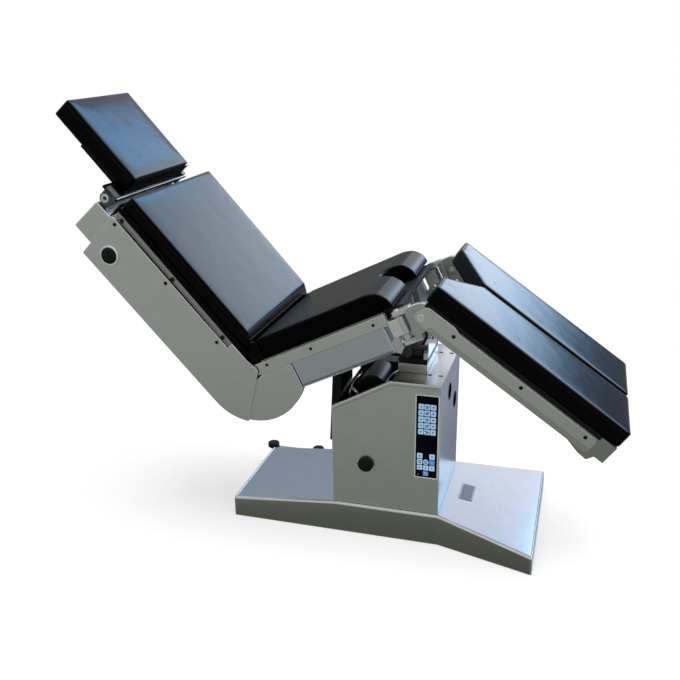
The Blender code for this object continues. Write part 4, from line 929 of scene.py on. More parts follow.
class TABLE_OT_cushions(bpy.types.Operator):
    """Blow up the five cushions and sew their seams"""
    bl_idname = "table.cushions"
    bl_label = "Cushions"

    def execute(self, context):
        shrink = size("cushion_inset")
        back = [(-0.588, 0.0186), (-0.0435, 0.0186), (-0.0635, 0.0520), (-0.094, 0.0683), (-0.588, 0.0683)]
        self.block_pad("back_pad", back, [0.004, 0.003, 0.016, 0.005, 0.005], 0.260, "back", "back_cushion",
                       shrink)
        head = [(-0.928, 0.0043), (-0.630, 0.0043), (-0.630, 0.0690), (-0.928, 0.0690)]
        self.block_pad("head_pad", head, [0.003, 0.003, 0.005, 0.005], 0.175, "head", "head_cushion", shrink)
        self.seat(shrink)
        for name, s in SIDES:
            self.leg(name, s, shrink)
        return {"FINISHED"}

    def block_pad(self, name, profile, radii, half, body, node, shrink):
        """Cushion of a side outline (u, v): its foot end may slope below the top edge."""
        outline = rounded(inset(np.array(profile), shrink), radii, 4)
        reach = half - shrink
        points, faces = plate(outline, -reach, reach, 0.005, 0.005, 4)
        top, low = profile[-1][1], profile[0][1]
        level = top - size("seam_level")
        made = pad(name, "back", side_on((points, faces), 1.0), low, body, (node,), level)
        heights = [v for _, v in profile[1:-1]]
        foot = float(np.interp(level, heights, [u for u, _ in profile[1:-1]]))
        loop = rectangle((profile[-1][0] + shrink, foot - shrink), (-reach, reach), 0.006, 4)
        thread(f"{name}_seam", made, "back", loop, level, body)

    def seat(self, shrink):
        """Seat cushion: a side outline with a rolled rear edge and a round nose, less its cut-out."""
        low, top, nose = 0.0150, 0.0800, 0.4618
        head, r = 0.012 + shrink, size("seat_roll")
        front = smooth_path([(nose - shrink, low + 0.004), (nose - 0.0030, top - 0.0440),
                             (nose - 0.0120, top - 0.0270), (nose - 0.0300, top - 0.0100),
                             (nose - 0.0620, top - shrink)], 5)
        profile = [(head, low), *front, *arc((head + r, top - shrink - r), r, 90.0, 180.0, 12)]
        outline = rounded(profile, [0.004] + [0.0] * (len(profile) - 1), 4)
        half = 0.2545 - shrink
        points, faces = plate(outline, -half, half, 0.006, 0.006, 4)
        body = mesh_object("seat_block", side_on((points, faces), 1.0)[0], faces)
        hole = size("seat_notch")
        lobe = [*arc((0.445, 0.0), hole, 90.0, 270.0, 24), (nose + 0.02, -hole), (nose + 0.02, hole)]
        tool = mesh_object("seat_notch", *plate(np.array(lobe), -0.02, top + 0.03, 0.0005))
        notch = body.modifiers.new("notch", "BOOLEAN")
        notch.operation = "DIFFERENCE"
        notch.solver = "EXACT"
        notch.object = tool
        apply(body)
        points, faces = vertices(body), [list(f.vertices) for f in body.data.polygons]
        bpy.data.objects.remove(body)
        bpy.data.objects.remove(tool)
        pad("seat_pad", "seat", (points, faces), low, "seat", ("seat_cushion",), None, "leather_seat")

    def leg(self, name, s, shrink):
        """Leg cushion: a plan whose inner corner is cut off, seamed below its top."""
        u0, u1, y_in, y_out = -0.0200, 0.6120, 0.0058, 0.2615
        low, top = 0.0411, 0.0954
        plan = np.array([(u0, s * 0.155), (0.0915, s * y_in), (u1, s * y_in), (u1, s * y_out),
                         (u0, s * y_out)])
        if signed_area(plan) < 0:
            plan = plan[::-1]
        plan = rounded(inset(plan, shrink), 0.010, 5)
        shape = plate(plan, low, top - shrink, 0.006, 0.004, 4)
        body, level = f"leg_{name}", top - size("seam_level")
        made = pad(f"leg_pad_{name}", "leg", shape, low, body, (f"leg_cushion_{name}",), level)
        thread(f"leg_pad_{name}_seam", made, "leg", plan, level, body)


# Sheet covers

def side_sheet(name, outline, depth, side, face, section, body, node, look, edge=0.003):
    """Folded side sheet whose face lies at the distance face from the middle plane."""
    points, faces = tub(outline, face, depth, edge)
    centre = np.mean(np.asarray(outline), axis=0)
    out = (centre[0], side * (face + 1.0), centre[1])
    return sheet_piece(name, side_on((points, faces), side), section, look, body, (node,), out=out)


class TABLE_OT_side_covers(bpy.types.Operator):
    """Fold the sheet covers beside the back section and its hinge"""
    bl_idname = "table.side_covers"
    bl_label = "Side covers"

    def execute(self, context):
        seam, boss = -48.4, 0.0175
        tail = [(-0.575, -0.1665)]
        quadrant = arc((0, 0), 0.158, -90.0, seam, 24)
        nose = arc((0, 0), boss, 43.0, 118.0, 8)
        top = [(-0.037, 0.0110), (-0.098, 0.0105), (-0.098, -0.0100), (-0.587, -0.0130)]
        shallow = [0.8 * quadrant[-1] + 0.2 * nose[0]]
        outline = np.vstack((tail, quadrant, shallow, nose, top))
        rim = 1 + len(quadrant)
        depth = np.array([0.030] * rim + [0.0025] * (len(outline) - rim))
        drum = 0.154
        end = 0.1213
        start = math.degrees(math.atan2(-math.sqrt(drum ** 2 - end ** 2), end))
        wheel = np.vstack(([(0.027, -0.0183)], arc((0, 0), 0.026, -60.0, -131.0, 8),
                           arc((0, 0), drum, -131.0, start, 32), [(end, -0.0183)]))
        wheel_depth = np.array([0.0025] * 10 + [0.026] * 33 + [0.0025])
        for name, s in SIDES:
            side_sheet(f"back_side_{name}", outline, depth, s, 0.2685, "back", "back",
                       f"back_cover_{name}", "steel_back", 0.0014)
            side_sheet(f"hinge_side_{name}", wheel, wheel_depth, s, 0.2645, "seat", "seat",
                       f"hinge_cover_{name}", "steel_seat", 0.002)
            heads = screws([(u, -0.024) for u in (-0.565, -0.349, -0.129)], s, 0.2685)
            piece(f"back_screws_{name}", heads, "back", "screw", "back")
        return {"FINISHED"}


class TABLE_OT_rails(bpy.types.Operator):
    """Make the accessory rails of the back, the seat and the legs with their screws"""
    bl_idname = "table.rails"
    bl_label = "Rails"

    def execute(self, context):
        for name, s in SIDES:
            upper = plate(rectangle((-0.581, -0.098), (-0.0035, 0.017), 0.001), 0.2557, 0.2635, 0.0008)
            lower = plate(rectangle((-0.581, -0.098), (-0.008, -0.0047), 0.001), 0.2557, 0.2632, 0.0008)
            piece(f"back_bar_{name}", side_on(joined(upper, lower), s), "back", "rail", "back",
                  (f"back_rail_{name}",))
            clips = [
                plate(rectangle((u - 0.0065, u + 0.0065), (-0.0080, 0.0050), 0.003), 0.2620, 0.2638, 0.0006)
                for u in (-0.5585, -0.3436, -0.1285)
            ]
            piece(f"back_bar_clips_{name}", side_on(joined(*clips), s), "back", "screw", "back")
            skirt = plate(rectangle((-0.583, -0.046), (0.0092, 0.0270), 0.002), 0.2570, 0.2642, 0.0012)
            piece(f"back_pad_skirt_{name}", side_on(skirt, s), "back", "leather", "back")
            strip = plate(rectangle((0.027, 0.430), (-0.018, 0.0147), 0.003), 0.2620, 0.2655, 0.0010)
            piece(f"seat_bar_{name}", side_on(strip, s), "seat", "steel_seat", "seat",
                  (f"seat_rail_{name}",))
            lip = plate(rectangle((0.040, 0.432), (0.0158, 0.0190), 0.001), 0.2590, 0.2638, 0.0006)
            piece(f"seat_lip_{name}", side_on(lip, s), "seat", "rail", "seat")
            # A black disc and web that paint the shaded gap at the back hinge, between the rail's end and the
            # cushions.
            disc = side_on(lathe([(0.0, 0.2400), (0.0450, 0.2400), (0.0460, 0.2410), (0.0460, 0.2540),
                                  (0.0450, 0.2550), (0.0, 0.2550)], 48), s)
            gusset = plate(
                [(0.0055, 0.0200), (0.0500, 0.0200), (0.0500, 0.0730), (0.0290, 0.0750), (0.0055, 0.0500)],
                0.2350, 0.2575, 0.0008)
            piece(f"hinge_painted_shade_{name}", joined(disc, side_on(gusset, s)), "seat", "leather", "seat")
            seam = plate(rectangle((0.1206, 0.1228), (-0.0930, -0.0190)), 0.2610, 0.2636, 0.0003)
            piece(f"hinge_seam_{name}", side_on(seam, s), "seat", "dark", "seat")
            heads = screws([(0.0515, 0.0025), (0.197, 0.0), (0.393, -0.003)], s, 0.2655, 0.0045, 0.0020)
            piece(f"seat_bar_screws_{name}", heads, "seat", "screw", "seat")
            self.leg(name, s)
        return {"FINISHED"}

    def leg(self, name, s):
        """Side bar of a leg section with its screws and knee pin, a painted fold shade on its lower face and a
        painted shadow above it.
        """
        corner = rounded([(-0.0100, -0.0143), (0.030, -0.0205), (0.555, -0.0205), (0.555, 0.0280),
                          (0.110, 0.0280), (0.085, 0.0365), (-0.004, 0.0365), (-0.0152, 0.0088)],
                         [0, 0, 0.010, 0.010, 0.004, 0.004, 0.014, 0], 5)
        shape = np.vstack((arc((0, 0), 0.0175, 150.0, 235.0, 12)[1:-1], corner))
        edge = np.where(shape[:, 1] < -0.015, 0.0052, 0.0010)
        edge[shape[:, 0] < 0.02] = 0.0010
        body = plate(shape, 0.2622, 0.2685, edge, 0.0006)
        piece(f"leg_bar_{name}", side_on(body, s), "leg", "steel_leg", f"leg_{name}",
              (f"leg_rail_{name}",))
        # A black strip painted as the shadow between the bar's top and the cushion.
        shadow = plate(rectangle((-0.012, 0.560), (0.0300, 0.0430)), 0.2560, 0.2626, 0.0006)
        piece(f"leg_gap_painted_shadow_{name}", side_on(shadow, s), "leg", "screw", f"leg_{name}")
        # A strip painted in shade on the bar's lower third, where the lower edge folds away from the light.
        face = plate(rectangle((0.030, 0.553), (-0.0200, -0.0030), 0.006), 0.2680, 0.2687, 0.0002)
        piece(f"leg_painted_fold_shade_{name}", side_on(face, s), "leg", "steel_painted_fold_shade", f"leg_{name}")
        heads = screws([(0.097, 0.0144), (0.316, 0.0155), (0.526, 0.0149)], s, 0.2685)
        piece(f"leg_bar_screws_{name}", heads, "leg", "screw", f"leg_{name}")
        profile = [(0.0, 0.2600), (0.0105, 0.2600), (0.0105, 0.2694), (0.0095, 0.2702), (0.0060, 0.2702),
                   (0.0055, 0.2696), (0.0, 0.2696)]
        pin = side_on(lathe(profile, 36), s)
        piece(f"knee_pin_{name}", pin, "leg", "steel_leg", f"leg_{name}")


class TABLE_OT_boxes(bpy.types.Operator):
    """Fold the tray covers below the seat and behind the back"""
    bl_idname = "table.boxes"
    bl_label = "Tray covers"

    def execute(self, context):
        self.seat_box()
        self.back_box()
        return {"FINISHED"}

    def seat_box(self):
        """Tray cover below the seat, open at the top and notched for the column."""
        half, low, top = 0.2620, -0.096, -0.0200
        u0, u1, n, notch = 0.1216, 0.417, 0.062, 0.366
        floor = [(u0, -half), (u1, -half), (u1, -n), (notch, -n), (notch, n), (u1, n), (u1, half), (u0, half)]
        floor = rounded(floor, [0.004, 0.004, 0.003, 0.003, 0.003, 0.003, 0.004, 0.004], 4)
        points, faces = tub(floor, -low, -low + top, 0.0085, 6)
        points = points * (1.0, 1.0, -1.0)
        sheet_piece("seat_tray", (points, faces), "seat", "steel_tray", "seat", ("seat_box",),
                    0.0020, (0.27, 0.0, -1.0))

    def back_box(self):
        """Deep tray behind the back section, hollowed from below, with the lugs of the head hinge."""
        half, low, lid, top = 0.228, -0.152, -0.045, 0.0077
        u0, u1, step = -0.656, -0.172, -0.592
        outline = rounded([(u0, low), (u1, low), (u1, top), (step, top), (step, lid), (u0, lid)],
                          [0.006, 0.006, 0.001, 0.001, 0.002, 0.006], 5)
        body = plate(outline, -half, half, 0.0030, 0.0030, 4)
        hollow = mesh_object("back_tray", *side_on(body, 1.0))
        core = plate(rectangle((u0 + 0.070, u1 - 0.002), (low + 0.0022, top + 0.02)), -half + 0.0022,
                     half - 0.0022, 0.0)
        tool = mesh_object("back_core", *side_on(core, 1.0))
        cutter = hollow.modifiers.new("core", "BOOLEAN")
        cutter.operation = "DIFFERENCE"
        cutter.solver = "EXACT"
        cutter.object = tool
        apply(hollow)
        bpy.data.objects.remove(tool)
        points = to_world(vertices(hollow), "back")
        hollow.data.vertices.foreach_set("co", points.ravel())
        hollow.data.shade_smooth()
        hollow.data.set_sharp_from_angle(angle=math.radians(35.0))
        keep_flat(hollow)
        lugs = []
        pivot = (-0.646, -0.020)
        r = 0.0172
        lug = np.vstack(([(pivot[0] - r, lid - 0.004)], [(pivot[0] + r, lid - 0.004)],
                         arc(pivot, r, 0.0, 180.0, 24)))
        for _, s in SIDES:
            lugs.append(side_on(plate([lug, circle(pivot, 0.0083, 24)], 0.180, 0.200, 0.0012), s))
        declare(hollow, "steel_back", "back", ("back_box",))
        piece("back_tray_lugs", joined(*lugs), "back", "cast", "back")


# Base and column

class TABLE_OT_base(bpy.types.Operator):
    """Fold the base cover with its two slopes and put the blank plate on it"""
    bl_idname = "table.base"
    bl_label = "Base"

    def execute(self, context):
        head, saddle, flare, foot = -0.5505, -0.2165, 0.1020, 0.3855
        half, wide, r = 0.179, 0.2612, 0.0065
        bends = np.linspace(-0.010, 0.010, 9)
        slant = math.degrees(math.atan2(wide - half, foot - flare))
        first = arc((head + r, -half + r), r, 180.0, 270.0, 5)
        corner = np.array((foot - r, -wide + r * 1.25))
        last = arc(corner, r, 270.0 - slant, 360.0, 6)
        x = np.concatenate((np.linspace(head + 0.03, saddle - 0.02, 5), saddle + bends, [-0.1, 0.0],
                            flare + bends, np.linspace(flare + 0.03, foot - 0.03, 5)))
        run = np.column_stack((x, -np.interp(x, (flare, foot), (half, wide))))
        side = np.vstack((first, run, last))
        outline = np.vstack((side, side[::-1] * (1.0, -1.0)))
        n = len(side)
        t = np.radians(np.linspace(0.0, 90.0, 5))
        flat = r + 0.0008
        rings = [(flat, 0.0), *((r * (1 - math.sin(a)), r * (1 - math.cos(a))) for a in t), (0.0, flat)]
        points = []
        for away, deep in rings:
            ring = inset(outline, away)
            points.append(np.column_stack((ring, self.height(ring[:, 0]) - deep)))
        points.append(np.column_stack((outline, np.full(2 * n, 0.002))))
        faces = band(len(points), 2 * n)
        i = np.arange(n - 1)
        faces += np.column_stack((i, i + 1, 2 * n - 2 - i, 2 * n - 1 - i)).tolist()
        sheet_piece("base_shell", (np.vstack(points), faces), "world", "steel_base", "base",
                    ("base_cover",), None, (0.25, 0.0, 2.0))
        self.plate()
        return {"FINISHED"}

    def height(self, x):
        """Height of the top: straight between four stations, averaged over 16 mm for round bends."""
        stations = (-0.60, -0.2165, 0.1020, 0.44)
        slopes = (0.0993 - 0.0665) / (0.5505 - 0.2165), (0.0993 - 0.0575) / (0.3855 - 0.1020)
        tops = (0.0993 - slopes[0] * (0.60 - 0.2165), 0.0993, 0.0993, 0.0993 - slopes[1] * (0.44 - 0.1020))
        shifts = np.linspace(-0.008, 0.008, 9)[:, None]
        return np.interp(x + shifts, stations, tops).mean(axis=0)

    def plate(self):
        """Bare plate on the foot slope, with a bright rim."""
        a, b = (0.0405, 0.0830), (-0.049, 0.043)
        body = plate(rectangle(a, b, 0.004), 0.0001, 0.0010, 0.0004)
        piece("blank_plate", flat_on(body), "ramp", "plate", "base")
        inner = rectangle((a[0] + 0.0035, a[1] - 0.0035), (b[0] + 0.0035, b[1] - 0.0035), 0.002)
        rim = plate([rectangle((a[0] + 0.0020, a[1] - 0.0020), (b[0] + 0.0020, b[1] - 0.0020), 0.003), inner],
                    0.0008, 0.0013, 0.0002)
        piece("blank_plate_rim", flat_on(rim), "ramp", "edge", "base")


class TABLE_OT_column(bpy.types.Operator):
    """Fold the panels of the column with their ports and slots"""
    bl_idname = "table.column"
    bl_label = "Column"

    def execute(self, context):
        low, head, foot, apex, top, shoulder, half = 0.0996, -0.2245, 0.1000, -0.0475, 0.5115, 0.4148, 0.1712
        corners = [(head, low), (foot, low), (foot, top), (apex, top), (head, shoulder)]
        outline = rounded(corners, [0.0036, 0.0036, 0.0036, 0.008, 0.006], 4)
        rim = (outline[:, 0] < apex - 0.001) & (outline[:, 1] > low + 0.004)
        depth = np.where(rim, 0.0120, 0.0040)
        for name, s in SIDES:
            side_sheet(f"column_side_{name}", outline, depth, s, half, "world", "base",
                       f"column_panel_{name}", "steel", 0.0022)
        self.rim(corners, half)
        inner = half - 0.0028
        ports, radius = ((-0.017, 0.434), (0.0895, 0.3626)), size("port")
        ends = [rectangle((-inner, inner), (low, top - 0.0028), 0.001)]
        ends += [circle(port, radius, 48) for port in ports]
        # The end panel's look paints its reflection darker towards the bottom.
        piece("column_end", end_on(plate(ends, foot - 0.0025, foot, 0.0006)), "world", "steel_end", "base",
              ("column_end_panel",))
        rings = [end_on(plate([circle(port, radius + 0.0008, 48), circle(port, radius - 0.0025, 48)],
                              foot - 0.0035, foot + 0.0010, 0.0007)) for port in ports]
        piece("port_liners", joined(*rings), "world", "rubber", "base")
        hole = rectangle((-0.0409, 0.0409), (-0.0709, 0.0709))
        places = [(x, y) for x in (0.0515, 0.0840) for y in (-0.0955, 0.0955)]
        slots = [rectangle((x - 0.0065, x + 0.0065), (y - 0.00225, y + 0.00225), 0.0021) for x, y in places]
        # The lid's look paints its reflection dark at the head end and bright at the foot end.
        lid = [rectangle((apex + 0.004, foot), (-inner, inner), 0.0015), hole, *slots]
        piece("column_lid", flat_on(plate(lid, top - 0.0025, top, 0.0006)), "world", "lid", "base",
              ("column_top_plate",))
        # Black patches over the slots, painted as the shade inside them.
        shades = [flat_on(plate(rectangle((x - 0.0068, x + 0.0068), (y - 0.0048, y + 0.0048), 0.0042),
                                top - 0.0030, top + 0.0002, 0.0001)) for x, y in places]
        piece("slot_painted_shade", joined(*shades), "world", "rubber", "base")
        collar = [rectangle((-0.0425, 0.0425), (-0.092, 0.092), 0.003),
                  rectangle((-0.0356, 0.0356), (-0.0656, 0.0656))]
        piece("collar", flat_on(plate(collar, 0.5118, 0.5390, 0.0010)), "world", "steel_bright", "base",
              ("guide_collar",))
        return {"FINISHED"}

    def rim(self, corners, half):
        """The folded rim along the slant and the top of each side: a pale strip painted as its highlight and a
        dark line below it painted as its shadow.
        """
        corners = np.array(corners)
        # The pale strip is a painted highlight and the dark line is a painted shadow.
        for label, look, start, end in (("rim", "edge", 0.0004, 0.0034), ("painted_shadow_line", "plate", 0.0100, 0.0112)):
            outer, inner = inset(corners, start)[2:5], inset(corners, end)[2:5]
            strip = plate(np.vstack((outer, inner[::-1])), half - 0.0004, half + 0.0003, 0.0001)
            parts = [side_on(strip, s) for _, s in SIDES]
            piece(f"column_{label}", joined(*parts), "world", look, "base")


class TABLE_OT_keypad(bpy.types.Operator):
    """Set the keypad's frame, foil and keys on the right panel"""
    bl_idname = "table.keypad"
    bl_label = "Keypad"

    def execute(self, context):
        x0, x1, z0, z1, face = 0.0265, 0.0965, 0.2170, 0.4820, 0.1715
        wall = size("keypad_frame")
        frame_shape = [rectangle((x0, x1), (z0, z1), 0.004),
                       rectangle((x0 + wall, x1 - wall), (z0 + wall, z1 - wall), 0.002)]
        piece("keypad_frame", side_on(plate(frame_shape, face, face + 0.0030, 0.0010), -1.0), "world",
              "edge", "base", ("keypad_bezel",))
        foil = rectangle((x0 + wall + 0.0003, x1 - wall - 0.0003), (z0 + wall + 0.0003, z1 - wall - 0.0003),
                         0.002)
        piece("keypad_foil", side_on(plate(foil, face, face + 0.0018, 0.0004), -1.0), "world", "keypad",
              "base", ("keypad_membrane",))
        self.left, self.top, self.face = x0 + wall, z1 - wall, face + 0.0018
        pale, dark, deep = [], [], []
        for row in range(5):
            y = 25.0 + row * 19.6
            pale += [self.key(6.0, y, 15.5, 17.0), self.key(22.8, y, 17.4, 17.0),
                     self.key(41.5, y, 15.5, 17.0)]
            dark += [self.arrow(13.8, y + 8.5, 1.0), self.table_mark(31.5, y + 8.0, row),
                     self.arrow(49.2, y + 8.5, -1.0)]
        low = 181.0
        pale += [self.key(4.5, low, 16.0, 17.0), self.key(40.5, low, 16.0, 17.0)]
        dark += [self.arrow(12.5, low + 8.5, 1.0), self.arrow(48.5, low + 8.5, -1.0)]
        deep += [self.key(40.5, low + 19.0, 16.0, 17.0)]
        pale += [self.key(4.5, low + 19.0, 16.0, 17.0), self.key(22.5, low + 19.0, 16.0, 17.0, 8.0)]
        pale += [self.key(x, low + 38.0, 16.0, 16.0) for x in (4.5, 22.5, 40.5)]
        deep += [self.key(22.5, low + 57.0, 16.0, 15.0)]
        dark += [self.ring(12.5, low + 27.5), self.ring(30.5, low + 27.5), self.dot(30.5, low + 46.0),
                 self.dot(12.5, low + 46.0), self.dot(48.5, low + 46.0)]
        piece("keys", joined(*pale), "world", "key_pale", "base")
        piece("keys_blue", joined(*deep), "world", "key", "base")
        piece("key_marks", joined(*dark), "world", "keypad", "base")
        marks = [self.ring(30.5, low + 64.5), self.dot(48.5, low + 27.5)]
        piece("key_marks_pale", joined(*marks), "world", "key_pale", "base")
        piece("keypad_lamp", self.dot(8.5, low + 69.5, 1.6), "world", "lamp", "base")
        return {"FINISHED"}

    def place(self, outline, low, high):
        """A flat print: outline in millimetres from the foil's upper left corner."""
        outline = np.asarray(outline, float) * 0.001
        outline = np.column_stack((self.left + outline[:, 0], self.top - outline[:, 1]))
        return side_on(plate(outline, self.face + low, self.face + high, 0.00008, steps=1), -1.0)

    def key(self, x, y, wide, high, radius=2.0):
        """A key as a rounded rectangle."""
        return self.place(rectangle((x, x + wide), (y, y + high), radius, 3), -0.0002, 0.0003)

    def arrow(self, x, y, way):
        """A triangle that points up or down."""
        corners = [(x - 3.0, y + 2.0 * way), (x, y - 2.8 * way), (x + 3.0, y + 2.0 * way)]
        return self.place(corners[::int(way)], 0.0003, 0.0005)

    def ring(self, x, y):
        """A ring."""
        outlines = [circle((x, y), 4.6, 20) * 0.001, circle((x, y), 3.2, 20) * 0.001]
        outlines = [np.column_stack((self.left + o[:, 0], self.top - o[:, 1])) for o in outlines]
        return side_on(plate(outlines, self.face + 0.0003, self.face + 0.0005, 0.00008, steps=1), -1.0)

    def dot(self, x, y, radius=2.0):
        """A round dot."""
        return self.place(circle((x, y), radius, 16), 0.0002, 0.0005)

    def table_mark(self, x, y, row):
        """A small table in side view, bent differently in each row."""
        tilt = (0.0, 1.4, -1.4, 2.2, -2.2)[row]
        top = [(x - 6.5, y - 1.8 + tilt), (x, y - 1.8), (x + 6.5, y - 1.8 - tilt), (x + 6.5, y + 0.4 - tilt),
               (x + 1.0, y + 0.4), (x + 1.0, y + 3.6), (x + 3.5, y + 3.6), (x + 3.5, y + 5.0),
               (x - 3.5, y + 5.0), (x - 3.5, y + 3.6), (x - 1.0, y + 3.6), (x - 1.0, y + 0.4),
               (x - 6.5, y + 0.4 + tilt)]
        return self.place(top, 0.0003, 0.0005)


class TABLE_OT_knobs(bpy.types.Operator):
    """Turn the valve knob, the lock knob with its ring and the pads of the brake pedal"""
    bl_idname = "table.knobs"
    bl_label = "Knobs and pedal"

    def execute(self, context):
        valve, lock = (-0.1195, 0.2403), (-0.515, -0.104)
        self.grip("valve_grip", valve, 0.1715, 0.014, "world", "valve_knob", "column_knob")
        self.grip("lock_grip", lock, 0.2688, 0.0100, "back", "lock_knob", "back_knob")
        ring = [(0.0, 0.0), (0.0290, 0.0), (0.0290, 0.0028), (0.0284, 0.0036), (0.0270, 0.0040),
                (0.0250, 0.0040), (0.0242, 0.0036), (0.0238, 0.0028), (0.0238, 0.0006), (0.0, 0.0006)]
        points, faces = lathe(ring, 64)
        piece("lock_ring", side_on((points + (*lock, 0.2688), faces), -1.0), "back", "edge", "lock_knob",
              ("knob_ring",), 30.0)
        pin = tube([(valve[0] + s * 0.0262, -0.1762, valve[1] + s * 0.0012) for s in (-1.0, 1.0)], 0.0016, 10)
        piece("valve_cross_pin", pin, "world", "dark", "valve_knob")
        self.pads()
        return {"FINISHED"}

    def grip(self, name, centre, face, length, section, body, node):
        """Knob with shallow grips: radius(t) = R (1 - 0.012 (0.5 + 0.5 cos 24 t)) on its skirt."""
        radius = size("grip")
        t = np.radians(np.linspace(0.0, 90.0, 9))[:-1]
        crown = np.column_stack((radius * (0.72 + 0.28 * np.cos(t)), length * (0.62 + 0.30 * np.sin(t))))
        profile = np.vstack(([0.0, -0.0002], [radius * 0.95, -0.0002], [radius * 0.985, 0.0012],
                             [radius, 0.0022], [radius, length * 0.55], crown,
                             [radius * 0.66, length * 0.935], [radius * 0.60, length * 0.925],
                             [radius * 0.56, length * 0.955], [radius * 0.30, length * 0.985],
                             [0.0, length]))
        points, faces = lathe(profile, 96)
        r = np.hypot(points[:, 0], points[:, 1])
        turn = np.arctan2(points[:, 1], points[:, 0])
        skirt = np.clip((r - 0.90 * radius) / (0.08 * radius), 0.0, 1.0)
        points[:, :2] *= (1.0 - 0.012 * skirt * (0.5 + 0.5 * np.cos(24 * turn)))[:, None]
        shape = side_on((points + (*centre, face), faces), -1.0)
        piece(name, shape, section, "plastic", body, (node,), 45.0)

    def pads(self):
        """Round rubber pads on both ends of the brake pedal, each with a narrow notch round its side."""
        hub = joint("pedal_rock")["pos_m"]
        for name, s in (("head", -1.0), ("foot", 1.0)):
            r, high = 0.0200, 0.018
            t = np.radians(np.linspace(0.0, 90.0, 7))
            crown = np.column_stack((r - 0.005 + 0.005 * np.cos(t), high - 0.005 + 0.004 * np.sin(t)))
            profile = np.vstack(([0.0, 0.0], [r - 0.0015, 0.0], [r, 0.0015], [r, 0.006], [r - 0.0006, 0.0068],
                                 [r, 0.0076], crown, [r - 0.011, high - 0.0004], [0.0, high]))
            points, faces = lathe(profile, 48)
            points = points + (hub[0] + s * 0.084, hub[1], hub[2] + 0.0150)
            piece(f"pedal_rubber_{name}", (points, faces), "world", "rubber", "pedal",
                  (f"pedal_pad_{name}",), 40.0)


# Hinges and tilt head

